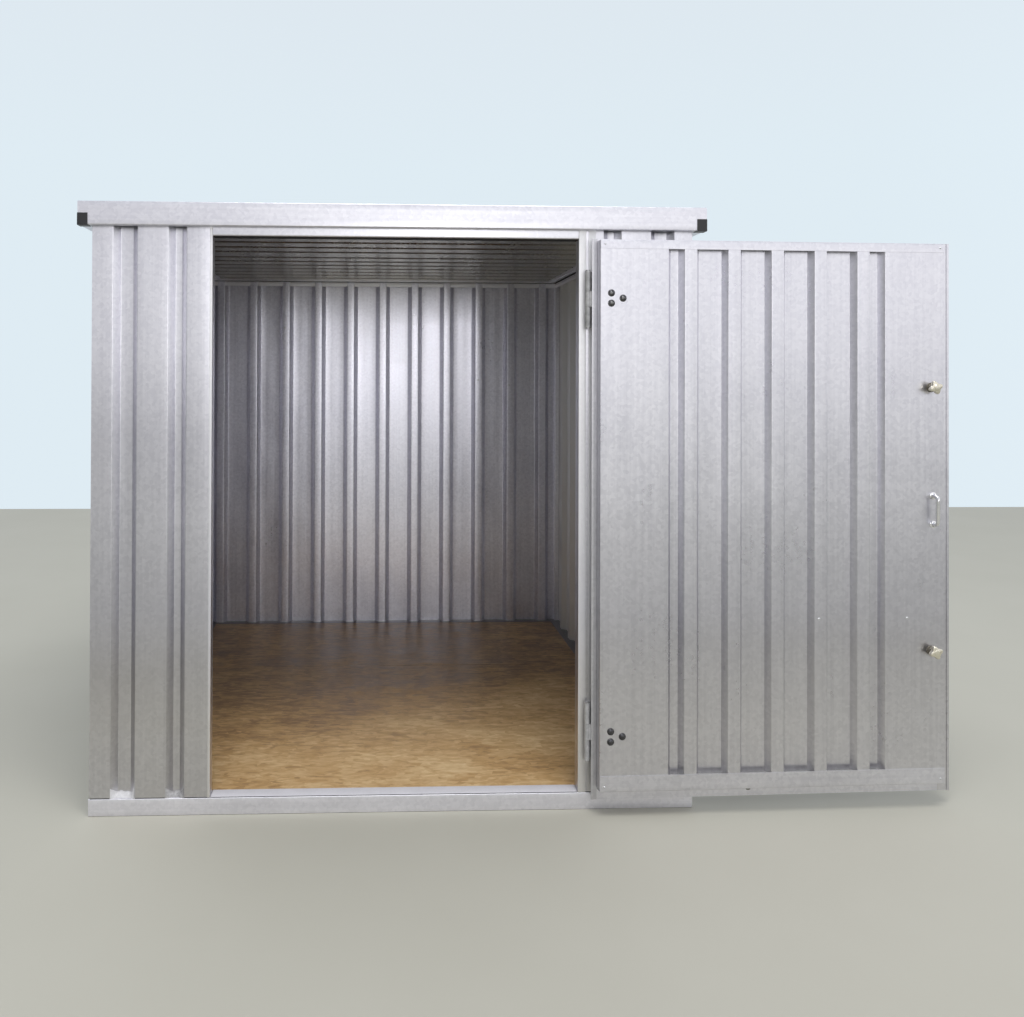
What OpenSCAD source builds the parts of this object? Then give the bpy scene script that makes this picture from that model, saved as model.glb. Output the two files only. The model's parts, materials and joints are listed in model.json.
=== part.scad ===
// Flat pack storage container: a galvanised sheet-steel cabin that bolts
// together from a floor frame, ribbed wall sheets, a roof frame and one
// door leaf on two lift hinges, shown with the door swung right back.
// Millimetres. Front is -Y, up is +Z. The origin is the centre of the
// footprint at ground level, on the underside of the middle floor joist.

/* [Overall] */
// Width of the floor frame
body_w = 2090; // [1900:10:2600]
// Depth of the floor frame
body_d = 2090; // [1900:10:2600]
// Height to the top of the roof band
body_h = 2101; // [2060:1:2400]
// Height of the floor frame
base_h = 58; // [52:1:90]
// Width of the floor frame's top flange
base_flange = 56; // [52:1:70]
// How far the wall faces sit in from the frame faces
wall_inset = 2; // [1.5:0.5:10]

/* [Sheet and fold] */
// Sheet thickness of the walls, roof and door
sheet_t = 1.2; // [0.8:0.1:1.6]
// Thickness of the folded frame sections
fold_t = 2; // [1.5:0.5:2.5]
// Depth of the wall ribs
rib_depth = 25; // [15:1:30]
// Width of one rib slope
rib_slope = 20; // [8:1:24]

/* [Front wall] */
// Clear width of the doorway
door_open_w = 1274; // [1000:2:1290]
// Sideways shift of the doorway from the middle, towards the hinges
door_shift = 4; // [0:1:10]
// Height of the lintel's underside
door_head_z = 1990; // [1900:1:1995]
// Distance from the doorway edge to the first rib of a front panel
front_rib_a = 88; // [75:1:95]
// Width of the first rib at its mouth
front_rib_a_w = 63; // [50:1:75]
// Distance from the doorway edge to the second rib
front_rib_b = 256; // [245:1:260]
// Width of the second rib at its mouth
front_rib_b_w = 83; // [60:1:85]

/* [Back and side walls] */
// Rib spacing
wall_rib_pitch = 191; // [160:0.5:220]
// Rib width at its mouth
wall_rib_w = 80; // [60:1:95]
// Number of ribs in the back wall
back_ribs = 11; // [6:1:11]
// Sideways shift of the back wall's ribs from the middle
back_rib_shift = -17; // [-20:0.5:40]
// Number of ribs in each side wall
side_ribs = 10; // [6:1:10]
// Reach of the side and back wall rails inward from the frame face
rail_reach = 31; // [30:1:52]

/* [Roof] */
// Height of the roof band
band_h = 81; // [70:1:100]
// Roof overhang at each side, beyond the floor frame
over_side = 40; // [30:1:60]
// Roof overhang at front and back, beyond the floor frame
over_front = 24; // [16:1:40]
// Rib spacing of the roof sheets
roof_rib_pitch = 136; // [110:1:160]
// Number of ribs in each roof sheet
roof_ribs = 7; // [4:1:7]
// Rib height of the roof sheets
roof_rib_h = 12; // [10:1:19]
// Width of a corner cap on the front face
cap_w = 36; // [20:1:60]
// Height of a corner cap
cap_h = 40; // [20:1:60]

/* [Door leaf] */
// Angle by which the leaf stands open
door_angle = 181.3; // [90:0.1:182]
// Width of the leaf over its overlap strips
leaf_w = 1289.5; // [1270:0.5:1295]
// Distance from the hinge axis to the leaf's near edge
leaf_start = 11.5; // [10:0.5:16]
// Distance from the hinge axis to the leaf's outer face
leaf_out = 8.5; // [7:0.5:9]
// Thickness of the leaf
leaf_t = 41.5; // [36:0.5:44]
// Height of the leaf's bottom edge
leaf_z0 = 48; // [46:1:56]
// Height of the leaf's top edge
leaf_z1 = 1986; // [1980:1:2000]
// Overlap strip beside the hinges
lip_hinge = 19.5; // [19:0.5:24]
// Overlap strip beside the lock
lip_lock = 44; // [40:1:50]
// Overlap strip below the leaf's body
lip_bottom = 42; // [20:1:48]
// Overlap strip above the leaf's body
lip_top = 8; // [4:1:16]
// Height of the top trim of the leaf
rail_top_h = 29.5; // [20:0.5:60]
// Height of the bottom trim of the leaf
rail_bot_h = 55; // [30:1:100]
// Distance from the hinge axis to the first groove of the leaf sheet
leaf_field_start = 269.5; // [240:0.5:300]
// Width of the grooved field of the leaf sheet
leaf_field_w = 772.5; // [740:0.5:800]
// Spacing of the five leaf ribs
leaf_rib_pitch = 154; // [140:1:158]
// Width of a leaf rib's crest
leaf_rib_w = 44; // [30:1:60]
// Depth of the grooves between the leaf ribs
leaf_groove = 24; // [15:1:28]

/* [Hinges and fittings] */
// Distance of the hinge axis from the doorway edge
hinge_off = 26; // [24:0.5:30]
// Distance of the hinge axis in front of the wall face
hinge_fwd = 21; // [20:0.5:24]
// Radius of the hinge knuckles
knuckle_r = 9.5; // [8.5:0.5:10]
// Radius of the hinge pin
pin_r = 5; // [4:0.5:6]
// Radial play between pin and knuckle
pin_play = 0.05; // [0.02:0.01:0.1]
// Length of the leaf's knuckle, in the middle of a hinge
knuckle_mid = 55; // [40:1:70]
// Length of each of the two frame knuckles of a hinge
knuckle_end = 71; // [40:1:90]
// Height of the upper hinge's middle
hinge_z_top = 1778; // [1500:1:1800]
// Height of the lower hinge's middle
hinge_z_bot = 279; // [240:1:500]
// Height of the upper knob
knob_z_top = 1475; // [1300:1:1600]
// Height of the lower knob
knob_z_bot = 556; // [400:1:700]
// Distance of the knobs from the leaf's lock edge
knob_back = 94; // [80:1:100]
// Radius of a knob over its lobes
knob_r = 25; // [20:0.5:28]
// Height of the pull handles' middle
pull_z = 1046; // [900:1:1200]
// Height of a pull handle between its feet
pull_l = 100; // [90:1:160]
// Distance of a pull handle's grip from the leaf
pull_h = 27; // [24:1:40]

/* [Hidden] */
$fn = 48;
hw = body_w / 2;
hd = body_d / 2;
wx = hw - wall_inset;          // outer plane of the side walls
wy = hd - wall_inset;          // outer plane of the front and back walls
ix = hw - base_flange;         // inner plane of the floor frame, side
iy = hd - base_flange;         // inner plane of the floor frame, front and back
rail_t = 1.2;
wall_z1 = body_h - band_h + 50;   // top of the wall sheets
rail_z0 = wall_z1 - 26;           // bottom of the inner leg of the wall rail
band_z0 = body_h - band_h;
seat_z = wall_z1 + rail_t + 6;    // roof seat, on the seal
ledge_z = body_h - 4 - roof_rib_h - 1.5 - 2 - sheet_t;
jl = door_open_w / 2 - door_shift;    // doorway edges, from the middle
jr = door_open_w / 2 + door_shift;
hx = jr + hinge_off;              // hinge axis
hy = -wy - hinge_fwd;
leaf_s0 = leaf_start;             // edges of the overlap strips, from the axis
leaf_s1 = leaf_start + leaf_w;
body_s0 = leaf_s0 + lip_hinge;    // edges of the leaf's body
body_s1 = leaf_s1 - lip_lock;
body_z0 = leaf_z0 + lip_bottom;
body_z1 = leaf_z1 - lip_top;
leaf_in = leaf_out + leaf_t;      // inner face of the leaf's trims, from the axis
trim_t = 1.5;
leaf_face = leaf_in - trim_t;     // inner face of the leaf sheet
lip_t = 1.6;
ledge_w = 30;
ledge_h = 38;
c_galv = [0.72, 0.74, 0.78];
c_dark = [0.10, 0.10, 0.11];

// ---------- helpers ----------
// x positions and depths of a ribbed sheet: ribs are folded inward (+y)
function rib_pts(x0, n, pitch, w, s, d) = [for (i = [0:n - 1])
    each [[x0 + i * pitch, 0], [x0 + i * pitch + s, d],
          [x0 + i * pitch + w - s, d], [x0 + i * pitch + w, 0]]];

// ribbed sheet in plan: flat face on y=0, ribs to +y, thickness t
module sheet2d(x0, x1, pts, t) {
    n = len(pts);
    polygon(concat([[x0, 0]], pts, [[x1, 0], [x1, t]],
        [for (i = [n - 1:-1:0]) [pts[i][0] + ((i % 4 < 2) ? -t * 0.55 : t * 0.55) , pts[i][1] + t]],
        [[x0, t]]));
}

module wall_sheet_at(x0, x1, pts) {
    translate([0, 0, base_h]) linear_extrude(height = wall_z1 - base_h) sheet2d(x0, x1, pts, sheet_t);
}
module wall_sheet(x0, x1, start, n, pitch, w)
    wall_sheet_at(x0, x1, rib_pts(start, n, pitch, w, rib_slope, rib_depth));

// mirror-and-turn placements: the front face becomes another side
module to_side(a) { rotate([0, 0, a]) children(); }

// hollow square or oblong post standing on the floor frame
module tube_z(x0, x1, y0, y1, z0, z1, t) {
    translate([0, 0, z0]) linear_extrude(height = z1 - z0) difference() {
        polygon([[x0, y0], [x1, y0], [x1, y1], [x0, y1]]);
        polygon([[x0 + t, y0 + t], [x1 - t, y0 + t], [x1 - t, y1 - t], [x0 + t, y1 - t]]);
    }
}

// ---------- floor ----------
// section in (inward, up), extruded along x, front face at y = -h
module base_section() {
    t = fold_t; f = base_flange; b = base_h;
    polygon([[0, 0], [40, 0], [40, t], [t, t], [t, b - t], [f - t, b - t],
             [f - t, ledge_h - t], [f, ledge_h - t], [f, b], [0, b]]);
}
module base_beam(h, half_len, half_ledge, caps) {
    rotate([90, 0, 90]) translate([-h, 0, -half_len])
        linear_extrude(height = 2 * half_len) base_section();
    translate([-half_ledge, -h + base_flange, ledge_h - fold_t])
        cube([2 * half_ledge, ledge_w, fold_t]);
    if (caps) for (s = [-1, 1])
        translate([s > 0 ? half_len - fold_t : -half_len, -h, 0])
            cube([fold_t, base_flange, base_h]);
}
module floor_frame_front() color(c_galv) base_beam(hd, hw, hw - base_flange - ledge_w, true);
module floor_frame_back() color(c_galv) to_side(180) base_beam(hd, hw, hw - base_flange - ledge_w, true);
module floor_frame_left() color(c_galv) to_side(-90) base_beam(hw, iy, iy, false);
module floor_frame_right() color(c_galv) to_side(90) base_beam(hw, iy, iy, false);

// three tubes under the boards, front to back
module floor_joists() color(c_galv) for (x = [-iy / 2, 0, iy / 2]) {
    difference() {
        translate([x - 30, -iy, 0]) cube([60, 2 * iy, ledge_h - fold_t]);
        translate([x - 28, -iy - 1, fold_t]) cube([56, 2 * iy + 2, ledge_h - 3 * fold_t]);
    }
    translate([x - 30, -iy + ledge_w + 1, ledge_h - fold_t])
        cube([60, 2 * (iy - ledge_w - 1), fold_t]);
}
board_y = -iy + 1.26 * iy;
module floor_board_front() color([0.72, 0.55, 0.32])
    translate([-ix + 1.5, -iy + 1.5, ledge_h]) cube([2 * ix - 3, board_y + iy - 2, base_h - ledge_h]);
module floor_board_back() color([0.72, 0.55, 0.32])
    translate([-ix + 1.5, board_y + 0.5, ledge_h]) cube([2 * ix - 3, iy - board_y - 2, base_h - ledge_h]);

// ---------- walls ----------
module front_panel(j) translate([0, -wy, 0]) wall_sheet_at(-wx, -j, concat(
    rib_pts(-j - front_rib_b - front_rib_b_w, 1, 0, front_rib_b_w, rib_slope, rib_depth),
    rib_pts(-j - front_rib_a - front_rib_a_w, 1, 0, front_rib_a_w, rib_slope, rib_depth)));
module front_panel_left() color(c_galv) front_panel(jl);
module front_panel_right() color(c_galv) mirror([1, 0, 0]) front_panel(jr);
module back_wall() color(c_galv) translate([0, wy, 0]) mirror([0, 1, 0])
    wall_sheet(-wx, wx, back_rib_shift - ((back_ribs - 1) * wall_rib_pitch + wall_rib_w) / 2, back_ribs, wall_rib_pitch, wall_rib_w);
module side_wall() translate([0, -wx, 0])
    wall_sheet(-wy + sheet_t, wy - sheet_t, -((side_ribs - 1) * wall_rib_pitch + wall_rib_w) / 2, side_ribs, wall_rib_pitch, wall_rib_w);
module left_wall() color(c_galv) to_side(-90) side_wall();
module right_wall() color(c_galv) to_side(90) side_wall();

module corner_post(sx, sy) color(c_galv) mirror([sx > 0 ? 0 : 1, 0, 0]) mirror([0, sy > 0 ? 0 : 1, 0])
    tube_z(hw - rail_reach + rail_t, wx - sheet_t,
           sy < 0 ? iy + 1 + rail_t : hd - rail_reach + rail_t, wy - sheet_t, base_h, wall_z1, fold_t);
module corner_post_front_left() corner_post(-1, -1);
module corner_post_front_right() corner_post(1, -1);
module corner_post_back_left() corner_post(-1, 1);
module corner_post_back_right() corner_post(1, 1);

module door_post(j) tube_z(j, j + 62, -wy + sheet_t, -iy - 1 - rail_t, base_h, wall_z1, fold_t);
module door_post_left() color(c_galv) mirror([1, 0, 0]) door_post(jl);
module door_post_right() color(c_galv) door_post(jr);
module door_lintel() color(c_galv) difference() {
    translate([-jl, -wy, door_head_z]) cube([jl + jr, wy - iy - 1 - rail_t, wall_z1 - door_head_z]);
    translate([-jl - 1, -wy + fold_t, door_head_z + fold_t])
        cube([jl + jr + 2, wy - iy - 1 - rail_t - 2 * fold_t, wall_z1 - door_head_z - 2 * fold_t]);
}

// inverted channel over the tops of the wall sheets
module rail_section(i) {
    polygon([[i, rail_z0], [i, wall_z1 + rail_t], [wall_inset - rail_t, wall_z1 + rail_t],
             [wall_inset - rail_t, wall_z1 - 18], [wall_inset, wall_z1 - 18], [wall_inset, wall_z1],
             [i - rail_t, wall_z1], [i - rail_t, rail_z0]]);
}
module rail(h, half_len, i) rotate([90, 0, 90]) translate([-h, 0, -half_len])
    linear_extrude(height = 2 * half_len) rail_section(i);
module top_rail_front() color(c_galv) rail(hd, hw - rail_reach, base_flange - 1);
module top_rail_back() color(c_galv) to_side(180) rail(hd, hw - rail_reach, rail_reach);
// side rail, drawn on the left: its inner leg stops at the front and back rails' legs
module rail_side() difference() {
    to_side(-90) rail(hw, wy, rail_reach);
    translate([-hw + 8, -wy - 1, rail_z0 - 1]) cube([200, wy - iy + rail_t, wall_z1 - rail_z0 + 1]);
    translate([-hw + 8, hd - rail_reach - rail_t, rail_z0 - 1]) cube([200, 60, wall_z1 - rail_z0 + 1]);
}
module top_rail_left() color(c_galv) rail_side();
module top_rail_right() color(c_galv) mirror([1, 0, 0]) rail_side();

// compressible strip between the wall rails and the roof frame
module roof_seal() color(c_dark) translate([0, 0, wall_z1 + rail_t])
    linear_extrude(height = seat_z - wall_z1 - rail_t) difference() {
        square([2 * wx - 6, 2 * wy - 6], center = true);
        square([2 * (hw - rail_reach) + 2, 2 * (hd - rail_reach) + 2], center = true);
    }

// ---------- roof ----------
rx = hw + over_side;
ry = hd + over_front;
// section in (inward from the band face, up) for an overhang o
module band_section(o) {
    t = 1.5;
    a = o + wall_inset - rail_t - 1;      // end of the bottom flange
    b = o + base_flange - 1;              // inner web
    c = b + ledge_w;                      // end of the top flange and ledge
    polygon([[0, band_z0], [a, band_z0], [a, band_z0 + t], [t, band_z0 + t], [t, body_h - t],
             [b - t, body_h - t], [b - t, seat_z + t], [b - 42, seat_z + t], [b - 42, seat_z],
             [b, seat_z], [b, ledge_z - t], [c, ledge_z - t], [c, ledge_z], [b, ledge_z],
             [b, body_h - t], [c, body_h - t], [c, body_h], [0, body_h]]);
}
module band(h, o, half_len) rotate([90, 0, 90]) translate([-h, 0, -half_len])
    linear_extrude(height = 2 * half_len) band_section(o);
// mitre the four beams at the corners
module mitre(h, half_len) intersection() {
    children();
    translate([0, 0, band_z0 - 5]) linear_extrude(height = band_h + 10)
        polygon([[-half_len - 1, -h - 1], [half_len + 1, -h - 1],
                 [half_len - 160, -h + 160], [-half_len + 160, -h + 160]]);
}
module roof_frame_front() color(c_galv) mitre(ry, rx) band(ry, over_front, rx);
module roof_frame_back() color(c_galv) to_side(180) mitre(ry, rx) band(ry, over_front, rx);
module roof_frame_left() color(c_galv) to_side(-90) mitre(rx, ry) band(rx, over_side, ry);
module roof_frame_right() color(c_galv) to_side(90) mitre(rx, ry) band(rx, over_side, ry);

// roof sheets, ribs running side to side, lying on the ledges
module roof_sheet(y0, y1) {
    s = 10; w = 44;
    start = (y0 + y1) / 2 - ((roof_ribs - 1) * roof_rib_pitch + w) / 2;
    translate([-ix - 1 + 4, 0, ledge_z]) rotate([90, 0, 90])
        linear_extrude(height = 2 * (ix + 1 - 4))
            sheet2d(y0, y1, rib_pts(start, roof_ribs, roof_rib_pitch, w, s, roof_rib_h), sheet_t);
}
module roof_sheet_front() color(c_galv) roof_sheet(-iy + 3, -0.5);
module roof_sheet_back() color(c_galv) roof_sheet(0.5, iy - 3);

// plastic caps closing the lower corners of the roof band
module roof_corner_caps() color(c_dark) for (sx = [-1, 1], sy = [-1, 1])
    mirror([sx > 0 ? 0 : 1, 0, 0]) mirror([0, sy > 0 ? 0 : 1, 0]) difference() {
        translate([rx - cap_w + 2, ry - cap_w + 2, band_z0 - 2]) cube([cap_w, cap_w, cap_h + 2]);
        translate([rx - cap_w + 1, ry - cap_w + 1, band_z0]) cube([cap_w - 1, cap_w - 1, cap_h + 2]);
    }

// ---------- door ----------
// place a piece drawn shut: s runs away from the hinge, d inward, from the axis
module leaf_frame() translate([hx, hy, 0]) rotate([0, 0, door_angle]) children();
function leaf_rib(i) = let (c = leaf_field_start + leaf_field_w / 2 + (i - 2) * leaf_rib_pitch)
    [c - leaf_rib_w / 2, c + leaf_rib_w / 2];
gs = 14;      // groove slope
// leaf sheet in plan: x = -s, y = d; margins and ribs on the inner plane
function leaf_line() = concat(
    [[body_s0, leaf_face], [leaf_field_start, leaf_face]],
    [for (i = [0:4]) each [
        [(i == 0 ? leaf_field_start : leaf_rib(i - 1)[1]) + gs, leaf_face - leaf_groove],
        [leaf_rib(i)[0] - gs, leaf_face - leaf_groove],
        [leaf_rib(i)[0], leaf_face], [leaf_rib(i)[1], leaf_face]]],
    [[leaf_rib(4)[1] + gs, leaf_face - leaf_groove],
     [leaf_field_start + leaf_field_w - gs, leaf_face - leaf_groove],
     [leaf_field_start + leaf_field_w, leaf_face], [body_s1, leaf_face]]);
module leaf_sheet_2d() {
    p = leaf_line();
    n = len(p);
    off = [for (i = [0:n - 1]) let (
             k = (i == 0 || i == n - 1) ? 0 :
                 ((p[i + 1][1] < p[i][1] - 1) ? -0.55 : (p[i - 1][1] < p[i][1] - 1) ? 0.55 :
                  (p[i - 1][1] > p[i][1] + 1) ? -0.55 : 0.55))
        [p[i][0] + k * sheet_t, p[i][1] - sheet_t]];
    polygon(concat([for (q = p) [-q[0], q[1]]], [for (i = [n - 1:-1:0]) [-off[i][0], off[i][1]]]));
}
bolt_at = [[68.5, 17.5], [68.5, -17.5], [109, 0]];
module bolt_holes(r) for (zc = [hinge_z_top, hinge_z_bot], b = bolt_at)
    translate([-b[0], 0, zc + b[1]]) rotate([-90, 0, 0]) cylinder(r = r, h = 90);
module door_sheet() color(c_galv) leaf_frame() difference() {
    translate([0, 0, body_z0 + trim_t]) linear_extrude(height = body_z1 - body_z0 - 2 * trim_t) leaf_sheet_2d();
    bolt_holes(4.6);
}
// stiles: a hollow box behind the plain margin of the sheet, and a folded edge
// whose overlap strip lies in the plane of the outer face
module stile(b0, b1) {
    translate([0, 0, body_z0 + trim_t]) linear_extrude(height = body_z1 - body_z0 - 2 * trim_t)
        difference() {
            polygon([[-b1, leaf_out], [-b0, leaf_out], [-b0, leaf_face - sheet_t], [-b1, leaf_face - sheet_t]]);
            polygon([[-b1 + 1.5, leaf_out + 1.5], [-b0 - 1.5, leaf_out + 1.5],
                     [-b0 - 1.5, leaf_face - sheet_t - 1.5], [-b1 + 1.5, leaf_face - sheet_t - 1.5]]);
        }
}
module overlap_strip(a, b) translate([-b, leaf_out, leaf_z0]) cube([b - a, lip_t, leaf_z1 - leaf_z0]);
module door_stile_hinge() color(c_galv) leaf_frame() difference() {
    union() {
        stile(body_s0, leaf_field_start - 3);
        overlap_strip(leaf_s0, body_s0 + 1);
    }
    bolt_holes(4.6);
}
module door_stile_lock() color(c_galv) leaf_frame() {
    stile(leaf_field_start + leaf_field_w + 3, body_s1);
    overlap_strip(body_s1 - 1, leaf_s1);
}
// trims closing the top and bottom of the leaf's body, with an overlap strip of their own
module leaf_trim(z_lip, z_body, z_trim) {
    up = z_body > z_lip ? 1 : -1;
    rotate([90, 0, 90]) {
        translate([0, 0, -body_s1]) linear_extrude(height = body_s1 - body_s0)
            polygon([[leaf_out + lip_t, z_body], [leaf_in, z_body], [leaf_in, z_trim], [leaf_face, z_trim],
                     [leaf_face, z_body + up * trim_t], [leaf_out + lip_t, z_body + up * trim_t]]);
        translate([0, 0, -body_s1 + 1]) linear_extrude(height = body_s1 - body_s0 - 2)
            polygon([[leaf_out, z_lip], [leaf_out + lip_t, z_lip],
                     [leaf_out + lip_t, z_body + up * trim_t], [leaf_out, z_body + up * trim_t]]);
    }
}
module door_rail_top() color(c_galv) leaf_frame() leaf_trim(leaf_z1, body_z1, body_z1 - rail_top_h);
module door_rail_bottom() color(c_galv) leaf_frame() leaf_trim(leaf_z0, body_z0, body_z0 + rail_bot_h);

// ---------- hinges ----------
module hinge_frame(zc) color([0.66, 0.68, 0.70]) translate([hx, hy, 0]) {
    h = knuckle_mid + 2 * knuckle_end;
    w = knuckle_r + 5;
    for (z0 = [zc - h / 2, zc + knuckle_mid / 2])
        translate([0, 0, z0]) linear_extrude(height = knuckle_end - 0.5) difference() {
            union() {
                circle(r = knuckle_r);
                polygon([[1.5, 6.5], [w, hinge_fwd - 7], [w, hinge_fwd], [1.5, hinge_fwd]]);
            }
            circle(r = pin_r + pin_play);
        }
    translate([w - 0.5, hinge_fwd - 3, zc - h / 2]) cube([34, 3, h - 0.5]);
}
module hinge_frame_top() hinge_frame(hinge_z_top);
module hinge_frame_bottom() hinge_frame(hinge_z_bot);
module hinge_pins() color([0.45, 0.46, 0.48]) for (zc = [hinge_z_top, hinge_z_bot])
    translate([hx, hy, zc]) {
        h = knuckle_mid + 2 * knuckle_end;
        translate([0, 0, -h / 2 - 3]) cylinder(r = pin_r, h = h + 6);
        translate([0, 0, h / 2 - 0.5]) cylinder(r = pin_r + 2.5, h = 3.5);
        translate([0, 0, -h / 2 - 3.5]) cylinder(r = pin_r + 2.5, h = 3.5);
    }
module hinge_strap(zc) color([0.66, 0.68, 0.70]) leaf_frame() difference() {
    translate([0, 0, zc - knuckle_mid / 2 + 0.5]) linear_extrude(height = knuckle_mid - 1.5) difference() {
        union() {
            circle(r = knuckle_r);
            polygon([[-1, 6.5], [-1, leaf_out], [-150, leaf_out], [-150, leaf_out - 4],
                     [-8, leaf_out - 4], [-7, 6.5]]);
        }
        circle(r = pin_r + pin_play);
    }
    bolt_holes(4.6);
}
module hinge_strap_top() hinge_strap(hinge_z_top);
module hinge_strap_bottom() hinge_strap(hinge_z_bot);
module hinge_bolts() color([0.2, 0.2, 0.22]) leaf_frame()
    for (zc = [hinge_z_top, hinge_z_bot], b = bolt_at)
        translate([-b[0], 0, zc + b[1]]) rotate([-90, 0, 0]) {
            translate([0, 0, leaf_out - 6]) cylinder(r = 4, h = leaf_t + 4);
            translate([0, 0, leaf_out - 4 - 3.5]) cylinder(r1 = 6, r2 = 9, h = 3.5);
            translate([0, 0, leaf_face]) cylinder(r1 = 12.5, r2 = 10, h = 3.5);
        }

// ---------- fittings ----------
knob_s = leaf_s1 - knob_back;
pull_s = knob_s + 7;
// four-lobed turn knobs on a round washer
module knob_star() {
    circle(r = knob_r * 0.58);
    for (a = [0:3]) rotate([0, 0, 90 * a + 20]) translate([knob_r * 0.66, 0]) circle(r = knob_r * 0.34);
}
module knobs() color([0.72, 0.66, 0.5]) leaf_frame() for (z = [knob_z_top, knob_z_bot])
    translate([-knob_s, leaf_face, z]) rotate([-90, 0, 0]) {
        rotate_extrude() polygon([[0, 0], [17, 0], [17, 2], [11, 4], [10, 18], [0, 18]]);
        translate([0, 0, 18]) linear_extrude(height = 14) knob_star();
        translate([0, 0, 32]) cylinder(r1 = 11, r2 = 8, h = 3);
    }
module bow_pull() {
    r = 5; h = pull_h; e = 14;
    for (s = [-1, 1]) {
        translate([0, 0, s * pull_l / 2]) rotate([-90, 0, 0]) cylinder(r = r, h = h - e);
        translate([0, 0, s * pull_l / 2]) rotate([-90, 0, 0]) cylinder(r = 10, h = 3);
        translate([0, h - e, s * (pull_l / 2 - e)]) mirror([0, 0, s > 0 ? 0 : 1])
            rotate([90, 0, 90]) rotate_extrude(angle = 90) translate([e, 0]) circle(r = r);
    }
    translate([0, h, -pull_l / 2 + e]) cylinder(r = r, h = pull_l - 2 * e);
}
module door_pull_inside() color([0.66, 0.68, 0.70]) leaf_frame()
    translate([-pull_s, leaf_face, pull_z]) bow_pull();
module door_pull_outside() color([0.66, 0.68, 0.70]) leaf_frame()
    translate([-pull_s, leaf_out, pull_z]) mirror([0, 1, 0]) bow_pull();
// round lock covers on the outer face, opposite the knobs
module lock_covers() color([0.66, 0.68, 0.70]) leaf_frame() for (z = [knob_z_top, knob_z_bot])
    translate([-knob_s, leaf_out, z]) rotate([90, 0, 0])
        rotate_extrude() polygon([[0, 0], [22, 0], [22, 4], [13, 6], [13, 11], [0, 11]]);

floor_frame_front();
floor_frame_back();
floor_frame_left();
floor_frame_right();
floor_joists();
floor_board_front();
floor_board_back();
front_panel_left();
front_panel_right();
back_wall();
left_wall();
right_wall();
corner_post_front_left();
corner_post_front_right();
corner_post_back_left();
corner_post_back_right();
door_post_left();
door_post_right();
door_lintel();
top_rail_front();
top_rail_back();
top_rail_left();
top_rail_right();
roof_seal();
roof_frame_front();
roof_frame_back();
roof_frame_left();
roof_frame_right();
roof_sheet_front();
roof_sheet_back();
roof_corner_caps();
hinge_frame_top();
hinge_frame_bottom();
hinge_pins();
door_sheet();
door_stile_hinge();
door_stile_lock();
door_rail_top();
door_rail_bottom();
hinge_strap_top();
hinge_strap_bottom();
hinge_bolts();
knobs();
door_pull_inside();
door_pull_outside();
lock_covers();
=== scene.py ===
import bpy
import bmesh
import json
import math
import random
from mathutils import Matrix, Vector


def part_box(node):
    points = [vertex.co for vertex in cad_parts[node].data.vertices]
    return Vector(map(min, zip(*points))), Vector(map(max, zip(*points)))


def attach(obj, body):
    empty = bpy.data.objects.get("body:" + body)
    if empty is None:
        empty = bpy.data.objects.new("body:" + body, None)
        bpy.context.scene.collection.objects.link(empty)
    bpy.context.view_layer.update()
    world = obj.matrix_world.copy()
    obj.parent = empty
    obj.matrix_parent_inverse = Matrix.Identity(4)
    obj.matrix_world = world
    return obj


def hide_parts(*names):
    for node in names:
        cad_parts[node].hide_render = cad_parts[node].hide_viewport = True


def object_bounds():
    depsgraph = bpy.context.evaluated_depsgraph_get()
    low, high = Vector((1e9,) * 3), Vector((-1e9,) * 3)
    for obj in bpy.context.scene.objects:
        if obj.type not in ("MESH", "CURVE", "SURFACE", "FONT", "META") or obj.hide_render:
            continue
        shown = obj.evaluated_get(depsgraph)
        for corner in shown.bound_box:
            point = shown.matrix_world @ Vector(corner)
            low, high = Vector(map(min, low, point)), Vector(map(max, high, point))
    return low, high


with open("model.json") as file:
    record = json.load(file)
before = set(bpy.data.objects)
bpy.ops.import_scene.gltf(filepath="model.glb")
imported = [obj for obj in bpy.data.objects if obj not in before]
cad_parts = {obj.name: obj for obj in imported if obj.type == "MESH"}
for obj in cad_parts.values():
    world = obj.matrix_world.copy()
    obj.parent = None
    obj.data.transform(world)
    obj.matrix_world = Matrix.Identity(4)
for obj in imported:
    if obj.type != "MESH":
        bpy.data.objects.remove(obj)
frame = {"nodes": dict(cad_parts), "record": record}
CAD_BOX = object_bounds()
REC = frame["record"]
NODES = frame["nodes"]

# ------------------------------------------------------------ places, metres
def bx(n):
    lo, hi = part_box(n)
    return Vector(lo), Vector(hi)

FL, FH = bx("floor_frame_front")
HW = FH.x                       # half width of the floor frame
HD = -FL.y                      # half depth
BASE = FH.z                     # height of the floor frame
PL, PH = bx("front_panel_left")
WX, WY = -PL.x, -PL.y           # outer planes of the walls
WTOP = PH.z
JL = -PH.x                      # doorway edges, from the middle
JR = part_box("front_panel_right")[0][0]
T = 0.0012
RL, RH = bx("roof_frame_front")
RX, RY = RH.x, -RL.y
TOP, BAND0 = RH.z, RL.z
JOINT = [j for j in REC["behaviour"]["joints"] if j["name"] == "door_hinge"][0]
HX, HY = JOINT["pos_m"][0], JOINT["pos_m"][1]
OPEN = math.radians(-JOINT["range_deg"][0])
CO, SO = math.cos(OPEN), math.sin(OPEN)
LL, LH = bx("door_stile_hinge")
LZ0, LZ1 = LL.z, LH.z           # leaf, over its overlap strips
BZ0, BZ1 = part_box("door_sheet")[0][2] - 0.0015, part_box("door_sheet")[1][2] + 0.0015
S0, S1 = 0.0115, 1.301          # overlap strips, from the hinge axis
B0, B1 = S0 + 0.0195, S1 - 0.044    # body of the leaf
LO = 0.0085                     # outer face of the leaf, from the hinge axis
LIN = LO + 0.0415               # inner face of its trims
LF = LIN - 0.0015               # inner face of its sheet

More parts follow.
